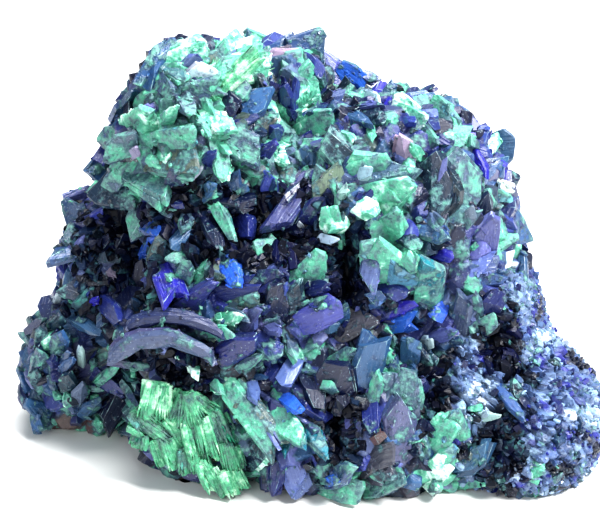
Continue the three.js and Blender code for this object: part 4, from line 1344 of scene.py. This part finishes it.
def patch(points):
    """Slow change over the specimen that gathers the green parts in patches."""
    x, y, z = points[..., 0], points[..., 1], points[..., 2]
    return np.sin(0.13 * x + 1.1) * np.sin(0.17 * y + 0.4) + 0.6 * np.sin(0.19 * z + 0.09 * x + 2.0)


def finish_by_patch(point):
    """Finish of a crystal at the sides or the back."""
    return pick(GREENS if patch(point) + chance.normal(0, PATCH_BLUR) > GREEN_PATCH else BLUES)


def all_round(count, lowest):
    """Evenly spread directions, from straight up down to the lowest height."""
    index = np.arange(count)
    height = 1 - (1 - lowest) * (index + 0.5) / count
    ring = np.sqrt(np.maximum(0, 1 - height ** 2))
    turn = math.pi * (3 - math.sqrt(5)) * index
    return np.stack([ring * np.cos(turn), ring * np.sin(turn), height], -1)


def spread_crystals(growth):
    """Large crystals on the sides, the top and the back."""
    draw = number_stream(SPREAD_SEED)
    hits = mass_around(all_round(SPREAD_COUNT, SPREAD_DOWN))
    for hit, normal in zip(hits, mass_normal(hits)):
        form = SPREAD_FORMS[int(next(draw) * len(SPREAD_FORMS))]
        length = SPREAD_LENGTH[0] + np.ptp(SPREAD_LENGTH) * next(draw)
        width = SPREAD_WIDTH[0] + np.ptp(SPREAD_WIDTH) * next(draw)
        heading = next(draw) * 2 * math.pi
        lean = SPREAD_LEAN[0] + np.ptp(SPREAD_LEAN) * next(draw)
        roll = SPREAD_ROLL[0] + np.ptp(SPREAD_ROLL) * next(draw)
        if on_front_or_flank(hit, normal) or hit[2] < SPREAD_LOWEST:
            continue
        along, facing = leaning(normal, heading, lean, roll)
        root = hit - along * (1 - SPREAD_STAND) * length
        tip = hit + along * SPREAD_STAND * length
        thickness = SPREAD_THINNER * THICKNESS_SHARE[form] * width + THICKNESS_LEAST
        finish = finish_by_patch(hit)
        layered_crystal(growth, form, finish, root, tip, width, thickness, facing)
        companions(growth, form, finish, root, tip, width, thickness, facing)


def side_fill(growth):
    """Medium and small crystals on the sides, the top and the back."""
    hits = mass_around(all_round(SIDE_FILL_COUNT, SIDE_FILL_DOWN))
    for hit, normal in zip(hits, mass_normal(hits)):
        if on_front_or_flank(hit, normal) or hit[2] < SIDE_FILL_LOWEST:
            continue
        finish = finish_by_patch(hit)
        length = chance.uniform(*SIDE_FILL_LENGTH)
        small_crystal(growth, hit, normal, finish, length, SIDE_FILL_SHADE, SIDE_FILL_STAND)


def on_front_or_flank(hit, normal):
    """Whether a point faces the viewer or lies on the drusy flank, where other crystals grow."""
    return normal @ unit(EYE - hit) > SPREAD_FRONT or on_flank(hit[None])[0]


def on_flank(points, wave=0.0):
    """Whether points lie on the right flank that the drusy crust covers, with a ragged edge."""
    x, y, z = points[:, 0], points[:, 1], points[:, 2]
    ragged = np.sin(0.4 * z + 0.2 * y) + 0.8 * np.sin(0.37 * y + 0.9) + 0.5 * np.sin(1.1 * y + 0.7 * z)
    edge = FLANK_X + FLANK_SLOPE * np.maximum(0, z - FLANK_RISE) + wave * ragged
    return (x > edge) & (z < FLANK_TOP + FLANK_TOP_WAVE * wave * ragged)


def crust_tips():
    """Where the tips of the crust sit, and what each looks like."""
    kinds = (
        (CRUST_COUNT, CRUST_HEIGHT, CRUST_RIDGE, False),
        (DRUSE_COUNT, DRUSE_HEIGHT, DRUSE_RIDGE, True),
    )
    at, outward, high, ridge, reach, finishes = [], [], [], [], [], []
    for count, heights, ridges, fine in kinds:
        jitter = chance.normal(0, CRUST_JITTER / math.sqrt(count), (count, 3))
        hits = mass_around(unit(all_round(count, CRUST_DOWN) + jitter))
        hits = hits[on_flank(hits, FLANK_WAVE) == fine]
        normals = mass_normal(hits)
        at.append(hits)
        outward.append(normals)
        high.append(chance.uniform(*heights, len(hits)))
        ridge.append(chance.uniform(*ridges, len(hits)))
        reach.append(np.full(len(hits), CRUST_REACH[int(fine)]))
        for hit, normal in zip(hits, normals):
            finishes.append(druse_finish(hit) if fine else crust_finish(hit, normal))
    tints, blooms = zip(*finishes)
    joined = [np.concatenate(part) for part in (at, outward, high, ridge, reach)]
    return *joined, np.array(tints), np.array(blooms)


def druse_wave(hit):
    """Slow uneven change over the drusy crust, from dark pits of painted shade at -2 to its palest parts
    at 2.
    """
    x, y, z = hit
    first = math.sin(0.62 * z + 0.3 * y + 1.7 * math.sin(0.33 * y + 0.2 * x))
    return first + math.sin(0.5 * y - 0.45 * x + 1.3 + 1.5 * math.sin(0.41 * z + 0.17 * y))


def druse_finish(hit):
    """Pale and dark tints that gather in small patches; the navy pits and the navy near hollows are
    painted shade.
    """
    wave = druse_wave(hit)
    pit = DRUSE_PIT + DRUSE_PIT_SWING * math.sin(0.19 * hit[1] + 0.23 * hit[2] + 0.5)
    if wave < pit or hollow_distance(hit) < DRUSE_HOLLOW:
        return finish_of("navy", DRUSE_PIT_SHADE)
    order = (wave / 2 + 1) / 2 * DRUSE_ORDER + (1 - DRUSE_ORDER) * chance.random()
    code = DRUSE_TINTS[min(int(order * len(DRUSE_TINTS)), len(DRUSE_TINTS) - 1)]
    tint = linear(code) * chance.uniform(*DRUSE_SHADE)
    return np.clip(tint, 0, DRUSE_MOST), float(chance.choice(DRUSE_BLOOMS))


def druse(growth):
    """Tiny crystals standing on the crust of the right flank."""
    jitter = chance.normal(0, GRAIN_JITTER, (GRAIN_COUNT, 3))
    hits = mass_around(unit(all_round(GRAIN_COUNT, CRUST_DOWN) + jitter))
    hits = hits[on_flank(hits, FLANK_WAVE) & (hits[:, 2] > GRAIN_LOWEST)]
    for hit, normal in zip(hits, mass_normal(hits)):
        along = unit(normal + GRAIN_LEAN * chance.normal(0, 1, 3))
        length = min(GRAIN_LONGEST, GRAIN_LENGTH * math.exp(chance.normal(0, GRAIN_VARIETY)))
        facing = unit(np.cross(along, chance.normal(0, 1, 3)))
        root = hit - along * length * GRAIN_SINK
        growth.add(SHAPES["grain"][0], root, root + along * length, length * GRAIN_WIDTH,
                   length * GRAIN_THICKNESS, facing, *druse_finish(hit))


def crust_finish(hit, normal):
    """Finish of a tip of the crust: dark navy near hollows as painted shade, mixed at the foot, else like
    its neighbours.
    """
    if hollow_distance(hit) < HOLLOW_REACH:
        return finish_of("navy", HOLLOW_SHADE)
    if hit[2] < FOOT_HEIGHT and chance.random() < FOOT_SHARE:
        return finish_of(pick(FOOT), CRUST_SHADE)
    if normal @ unit(EYE - hit) < CRUST_FRONT:
        return finish_of(finish_by_patch(hit), CRUST_SHADE)
    return finish_of(ground_finish(*drawn_at(hit)))


def crust_faces(outward):
    """Directions of four faces on every tip: two broad ones and two at the ends of the ridge."""
    axis = unit(outward + CRUST_TILT * chance.normal(0, 1, outward.shape))
    along = unit(np.cross(axis, chance.normal(0, 1, outward.shape)))
    across = np.cross(axis, along)
    faces = []
    for side in (across, -across, along, -along):
        slope = chance.uniform(*CRUST_SLOPE, len(axis))[:, None]
        faces.append(axis * np.cos(slope) + side * np.sin(slope))
    return np.stack(faces, 1), along, across


def crust_roof(base, normals, at, ends, faces, high, reach):
    """Height of the crust over every point, the tip that gives it, and how near an edge of it is."""
    best = np.full(len(base), -np.inf)
    winner = np.zeros(len(base), int)
    rim = np.zeros(len(base))
    for column in nearest_tips(at, base, CRUST_NEAR).T:
        gap = np.einsum("nfk,nfk->nf", ends[column] - base[:, None], faces[column])
        steep = np.einsum("nk,nfk->nf", normals, faces[column])
        roofs = np.where(steep > CRUST_STEEPEST, gap / np.maximum(steep, CRUST_STEEPEST), NO_ROOF)
        roofs = np.sort(roofs, axis=1)
        beyond = np.maximum(0, np.linalg.norm(at[column] - base, axis=1) - reach[column])
        roof = np.minimum(roofs[:, 0], high[column] + CRUST_SLACK) - CRUST_FALL * beyond
        edge = np.clip(1 - (roofs[:, 1] - roofs[:, 0]) / CRUST_RIM, 0, 1)
        higher = roof > best
        best = np.where(higher, roof, best)
        winner = np.where(higher, column, winner)
        rim = np.where(higher, edge, rim)
    return best, winner, rim


def crust(material):
    """The mass as one continuous crust of interlocking crystal tips; gives back its surface."""
    at, outward, high, ridge, reach, tints, blooms = crust_tips()
    faces, along, across = crust_faces(outward)
    tips = at + outward * high[:, None]
    half_ridge = along * ridge[:, None]
    ends = np.stack([tips, tips, tips + half_ridge, tips - half_ridge], 1)
    base, normals, triangles = mass_sheet()
    height, winner, rim = crust_roof(base, normals, at, ends, faces, high, reach)
    calm = np.clip(height, *HOLLOW_RELIEF)
    height = np.where(hollow_distance(base) < HOLLOW_REACH, calm, np.maximum(height, CRUST_DEEPEST))
    points = base + normals * height[:, None]
    grain = np.stack([(points * across[winner]).sum(1), (points * along[winner]).sum(1)], 1)
    facing_front = (points[triangles].mean(1) - MASS_CENTRE) @ TO_VIEW > 0
    for name, chosen in (("front_crust", facing_front), ("back_crust", ~facing_front)):
        used, again = np.unique(triangles[chosen], return_inverse=True)
        sheet = Growth()
        sheet.add_sheet(points[used], again.reshape(-1, 3), rim[used], grain[used],
                        tints[winner[used]], blooms[winner[used]])
        sheet.piece(name, material, "azurite")
    return BVHTree.FromPolygons(points.tolist(), triangles.tolist())


def mass_sheet():
    """Fine points all over the mass, their outward directions and the triangles between them."""
    bpy.ops.object.select_all(action="DESELECT")
    bpy.ops.mesh.primitive_ico_sphere_add(subdivisions=CRUST_DETAIL, radius=1)
    ball = bpy.context.active_object
    mesh = ball.data
    directions = np.empty(len(mesh.vertices) * 3)
    mesh.vertices.foreach_get("co", directions)
    directions = unit(directions.reshape(-1, 3))
    triangles = np.empty(len(mesh.loops), np.int32)
    mesh.loops.foreach_get("vertex_index", triangles)
    bpy.data.objects.remove(ball)
    hits = mass_around(directions)
    return hits, unit(mass_normal(hits) + CRUST_SPREAD * directions), triangles.reshape(-1, 3)


def nearest_tips(tips, points, count):
    """Numbers of the tips closest to each point."""
    tree = KDTree(len(tips))
    for number, tip in enumerate(tips):
        tree.insert(tip, number)
    tree.balance()
    return np.array([[found[1] for found in tree.find_n(point, count)] for point in points])


def on_fan(across, up, shift):
    """Where a place on the drawing plane meets the leaning sheet of the fan."""
    normal = unit(np.array([0.0, -FAN_ROOT_Z, FAN_ROOT_Y - FAN_FOOT_Y]))
    foot = np.array([0.0, FAN_FOOT_Y, 0.0])
    ray = unit(place(across, up, 0) - EYE)
    return EYE + ray * (((foot - EYE) @ normal) / (ray @ normal)) + normal * shift


def fan_fibres(growth):
    """Fibrous slats that splay out from one root and break off in steps."""
    for from_across, from_up, to_across, to_up, width, rise, tone in FAN_SLATS:
        start = on_fan(from_across, from_up, rise)
        end = on_fan(to_across, to_up, rise * FAN_SINK)
        slat(growth, start, end, width, tone)


def tongue_fibres(growth):
    """Slats of the tongue, which lie on the mass and rise towards their ends."""
    for from_across, from_up, to_across, to_up, width, rise, tone in TONGUE_SLATS:
        depths = mass_depth([from_across, to_across], [from_up, to_up])
        start = place(from_across, from_up, depths[0] + TONGUE_ROOT)
        end = place(to_across, to_up, np.nan_to_num(depths[1], nan=depths[0]) + rise)
        slat(growth, start, end, width, tone)


def slat(growth, start, end, width, tone):
    """A solid sheet with a front of low parallel fibres and uneven ends."""
    along = unit(end - start)
    facing = turned(unit(EYE - start), along, chance.normal(0, SLAT_ROLL))
    side = unit(np.cross(along, facing))
    front = np.cross(side, along)
    splay = chance.uniform(*SLAT_SPLAY)
    tint, bloom = finish_of(tone)
    behind = front * SLAT_FRONT - front * SLAT_DEPTH
    growth.add(SHAPES["plate"][1], start + behind, end + behind, width * SLAT_SWELL, 2 * SLAT_DEPTH,
               front, tint, bloom)
    for beside in np.arange(-0.5 * width, 0.5 * width, FIBRE_WIDTH * FIBRE_PITCH):
        swell = FIBRE_WAVE * math.sin(FIBRE_WAVES * beside + start[0])
        wave = front * (swell + chance.normal(0, FIBRE_UNEVEN))
        first = start + side * beside * (1 - splay) + wave + along * abs(chance.normal(0, FIBRE_START))
        last = end + side * beside * (1 + splay) + wave - along * abs(chance.normal(0, FIBRE_END))
        turn = turned(front, along, chance.normal(0, FIBRE_TURN))
        thick = FIBRE_WIDTH * chance.uniform(*FIBRE_THICKNESS)
        growth.add(SHAPES["splinter"][0], first, last, thick, thick * FIBRE_FLATNESS, turn,
                   tint * chance.uniform(*FIBRE_SHADE), bloom + chance.normal(0, FIBRE_BLOOM))


# Materials

def add_node(tree, kind, **settings):
    node = tree.nodes.new("ShaderNode" + kind)
    for key, value in settings.items():
        setattr(node, key, value)
    return node


def feed(tree, socket, value):
    """Links a socket to another one, or sets its own value."""
    if isinstance(value, bpy.types.NodeSocket):
        tree.links.new(value, socket)
    else:
        socket.default_value = value


def feed_named(tree, node, **values):
    """Feeds sockets by their names, written with _ for a space."""
    for name, value in values.items():
        feed(tree, node.inputs[name.replace("_", " ")], value)
    return node


def noise(tree, vector, scale, detail, roughness=0.5):
    """Cloudy values between 0 and 1."""
    node = add_node(tree, "TexNoise")
    feed_named(tree, node, Vector=vector, Scale=scale, Detail=detail, Roughness=roughness)
    return node.outputs["Fac"]


def maths(tree, operation, *values):
    node = add_node(tree, "Math", operation=operation)
    for socket, value in zip(node.inputs, values):
        feed(tree, socket, value)
    return node.outputs[0]


def smooth_step(tree, value, low, high):
    """Rises smoothly from 0 at the low value to 1 at the high one."""
    node = add_node(tree, "MapRange", interpolation_type="SMOOTHSTEP")
    return feed_named(tree, node, Value=value, From_Min=low, From_Max=high).outputs[0]


def mix_colour(tree, share, low, high, blend="MIX"):
    node = add_node(tree, "Mix", data_type="RGBA", blend_type=blend)
    for number, value in ((0, share), (6, low), (7, high)):
        feed(tree, node.inputs[number], value)
    return node.outputs[2]


def rgba(code):
    return (*linear(code), 1.0)


def on_object(tree):
    """Places in the frame of the piece."""
    return add_node(tree, "TexCoord").outputs["Object"]


def along_crystal(tree, scale):
    """Places on a crystal's own map, across it and along it."""
    own_map = add_node(tree, "UVMap", uv_map="grain").outputs[0]
    return feed_named(tree, add_node(tree, "Mapping"), Vector=own_map, Scale=scale).outputs[0]


def new_group(name, inputs, outputs):
    """An empty group with named sockets, and its way in and out."""
    group = bpy.data.node_groups.new(name, "ShaderNodeTree")
    for way, sockets in (("INPUT", inputs), ("OUTPUT", outputs)):
        for label, kind in sockets.items():
            group.interface.new_socket(label, in_out=way, socket_type="NodeSocket" + kind)
    entry = group.nodes.new("NodeGroupInput").outputs
    leave = group.nodes.new("NodeGroupOutput").inputs
    return group, entry, leave


def patches_group():
    """Mask of ragged patches: Amount sets how much of the surface they cover."""
    inputs = {"Amount": "Float", "Scale": "Float"}
    group, entry, leave = new_group("ragged patches", inputs, {"Mask": "Float"})
    cloud = noise(group, on_object(group), entry["Scale"], detail=6, roughness=0.65)
    total = maths(group, "ADD", cloud, entry["Amount"])
    feed(group, leave["Mask"], smooth_step(group, total, 0.86, 1.04))
    return group


def alteration_group():
    """Azurite turning to malachite: the colour of a spot and how green it is."""
    inputs = {"Azurite": "Color", "Amount": "Float"}
    group, entry, leave = new_group("malachite alteration", inputs, {"Color": "Color", "Green": "Float"})
    where = on_object(group)
    streaks = along_crystal(group, (0.9, 0.14, 1.0))
    amount = entry["Amount"]
    swings = (
        (where, 150, 0.7),
        (where, 460, 1.0),
        (streaks, 1.0, 0.3),
        (where, 1500, 0.5),
    )
    for vector, scale, depth in swings:
        cloud = noise(group, vector, scale, detail=3)
        swing = maths(group, "MULTIPLY_ADD", cloud, depth, -0.5 * depth)
        amount = maths(group, "ADD", amount, swing)
    green = smooth_step(group, amount, 0.28, 0.48)
    colour = mix_colour(group, green, entry["Azurite"], malachite_colour(group, amount))
    feed(group, leave["Color"], colour)
    feed(group, leave["Green"], green)
    return group


def malachite_colour(tree, amount):
    """Green that pales with the amount of alteration."""
    ramp = add_node(tree, "ValToRGB")
    stops = ramp.color_ramp.elements
    for stop, (position, code) in ((stops[0], GREEN_STOPS[0]), (stops[1], GREEN_STOPS[-1])):
        stop.position = position
        stop.color = rgba(code)
    for position, code in GREEN_STOPS[1:-1]:
        stops.new(position).color = rgba(code)
    feed(tree, ramp.inputs["Fac"], amount)
    return ramp.outputs["Color"]


def surface_group():
    """Height of the fine lines along a crystal, with a granular finish where it is green."""
    group, entry, leave = new_group("growth lines and grains", {"Green": "Float"}, {"Height": "Float"})
    lines = noise(group, along_crystal(group, (2.4, 0.22, 1.0)), 1.0, detail=5)
    grains = noise(group, on_object(group), 1600, detail=3)
    rough = maths(group, "MULTIPLY", grains, entry["Green"])
    feed(group, leave["Height"], maths(group, "MULTIPLY_ADD", rough, 1.5, lines))
    return group


PATCHES = patches_group()
ALTERATION = alteration_group()
SURFACE = surface_group()


def grouped(tree, group, **values):
    """A group placed in a material with its own values."""
    return feed_named(tree, add_node(tree, "Group", node_tree=group), **values).outputs


def trait(tree, name, output="Fac"):
    """A value that every crystal carries on its mesh."""
    return add_node(tree, "Attribute", attribute_name=name).outputs[output]


def new_material(name):
    material = bpy.data.materials.new(name)
    material.use_nodes = True
    return material, material.node_tree, material.node_tree.nodes["Principled BSDF"]


def crystal_material(name, rim, rim_share, bump, roughness, wash=None, refraction=1.55):
    """Glassy azurite faces that turn to malachite in patches, with pale rims that are partly wear and
    partly painted edge highlight, and pale flecks that are painted glints.
    """
    material, tree, shader = new_material(name)
    change = grouped(tree, ALTERATION, Azurite=trait(tree, "tint", "Color"), Amount=trait(tree, "bloom"))
    mottle = grouped(tree, PATCHES, Scale=1100, Amount=0.36)["Mask"]
    colour = mix_colour(tree, mottle, change["Color"], MOTTLE_SHADE, "MULTIPLY")
    # Pale flecks: painted glints.
    glint_specks = grouped(tree, PATCHES, Scale=2600, Amount=0.27)["Mask"]
    colour = mix_colour(tree, glint_specks, colour, rgba(GLINT_SPECK_COLOUR))
    # Pale rims on the bevels: partly wear, partly a painted edge highlight.
    wear_and_highlight = grouped(tree, PATCHES, Scale=380, Amount=rim_share)["Mask"]
    edge = maths(tree, "MULTIPLY", trait(tree, "rim"), wear_and_highlight)
    colour = mix_colour(tree, edge, colour, rgba(rim))
    if wash:
        colour = mix_colour(tree, 1.0, colour, wash, "MULTIPLY")
    dull = maths(tree, "MULTIPLY_ADD", change["Green"], GREEN_ROUGHER, roughness)
    height = grouped(tree, SURFACE, Green=change["Green"])["Height"]
    relief = add_node(tree, "Bump")
    feed_named(tree, relief, Strength=bump, Distance=BUMP_DISTANCE, Height=height)
    feed_named(tree, shader, Base_Color=colour, Roughness=dull, Normal=relief.outputs["Normal"])
    shader.inputs["IOR"].default_value = refraction
    return material


def floor_material():
    material, tree, shader = new_material("pale floor")
    feed_named(tree, shader, Base_Color=rgba(FLOOR_COLOUR), Roughness=FLOOR_ROUGHNESS)
    return material


# Stage

def stage():
    """A pale floor and soft studio light."""
    bpy.ops.object.select_all(action="DESELECT")
    bpy.ops.mesh.primitive_plane_add(size=FLOOR_SIZE, location=(0, 0, 0))
    floor = bpy.context.active_object
    floor.name = "floor"
    floor.data.materials.append(floor_material())
    world = bpy.data.worlds.new("soft studio")
    world.use_nodes = True
    backdrop = world.node_tree.nodes["Background"]
    backdrop.inputs["Color"].default_value = STUDIO_COLOUR
    backdrop.inputs["Strength"].default_value = STUDIO_STRENGTH
    bpy.context.scene.world = world
    bpy.context.scene.view_settings.view_transform = "Standard"
    bpy.context.scene.view_settings.look = "Medium High Contrast"
    for light in LIGHTS:
        soft_light(*light)


def soft_light(name, at, size, power):
    lamp = bpy.data.lights.new(name, "AREA")
    lamp.size = size
    lamp.energy = power
    holder = bpy.data.objects.new(name, lamp)
    holder.location = at
    holder.rotation_euler = (Vector(LIGHT_AIM) - Vector(at)).to_track_quat("-Z", "Y").to_euler()
    bpy.context.collection.objects.link(holder)


def camera():
    """The camera at the eye of the drawing plane."""
    lens = bpy.data.cameras.new("front view")
    lens.sensor_width = SENSOR
    lens.lens = SENSOR * VIEW_DISTANCE * PIXELS_PER_MM / PHOTO_WIDTH
    holder = bpy.data.objects.new("front view", lens)
    holder.location = EYE * MM
    holder.rotation_euler = (math.pi / 2 - LEAN, 0, 0)
    bpy.context.collection.objects.link(holder)
    bpy.context.scene.camera = holder


def build():
    """All the pieces. The order matters, because they share one stream of chance."""
    camera()
    azurite = crystal_material("azurite faces", "#93b4b6", rim_share=0.37, bump=0.5, roughness=0.3)
    malachite = crystal_material("silky malachite", "#cdeedd", rim_share=0.4, bump=0.6, roughness=0.3,
                                 wash=MALACHITE_WASH)
    drusy = crystal_material("drusy crust", "#cfd8ea", rim_share=0.4, bump=0.2, roughness=0.25)
    # Faces in the hollows: a darkening wash that paints shade, and a low index that dims their
    # reflections.
    shaded = crystal_material("shaded faces in hollows", "#1c2634", rim_share=0.34, bump=0.3, roughness=0.4,
                              wash=HOLLOW_SHADE_WASH, refraction=1.3)
    ground = crystal_material("crust of tips", "#7f94a8", rim_share=0.34, bump=0.3, roughness=0.45)
    surface = crust(ground)
    front = Growth()
    front_crystals(front)
    front_piece = front.piece("front_crystals", azurite, "azurite")
    fill = Growth()
    front_fill(fill)
    encrust(fill, front, ENCRUST_COUNT)
    fill.piece("front_small_crystals", azurite, "azurite")
    lining = Growth()
    hollow_lining(lining, surface)
    lining.piece("hollow_crystals", shaded, "azurite")
    sides = Growth()
    spread_crystals(sides)
    side_fill(sides)
    sides.piece("side_crystals", azurite, "azurite")
    grains = Growth()
    druse(grains)
    grains.piece("drusy_crystals", drusy, "druse")
    fan = Growth()
    fan_fibres(fan)
    fan_piece = fan.piece("malachite_fibres", malachite, "malachite")
    tongue = Growth()
    tongue_fibres(tongue)
    tongue.piece("dome_tongue", malachite, "malachite")
    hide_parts("azurite_cluster")
    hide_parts("malachite_fan")
    stage()


build()
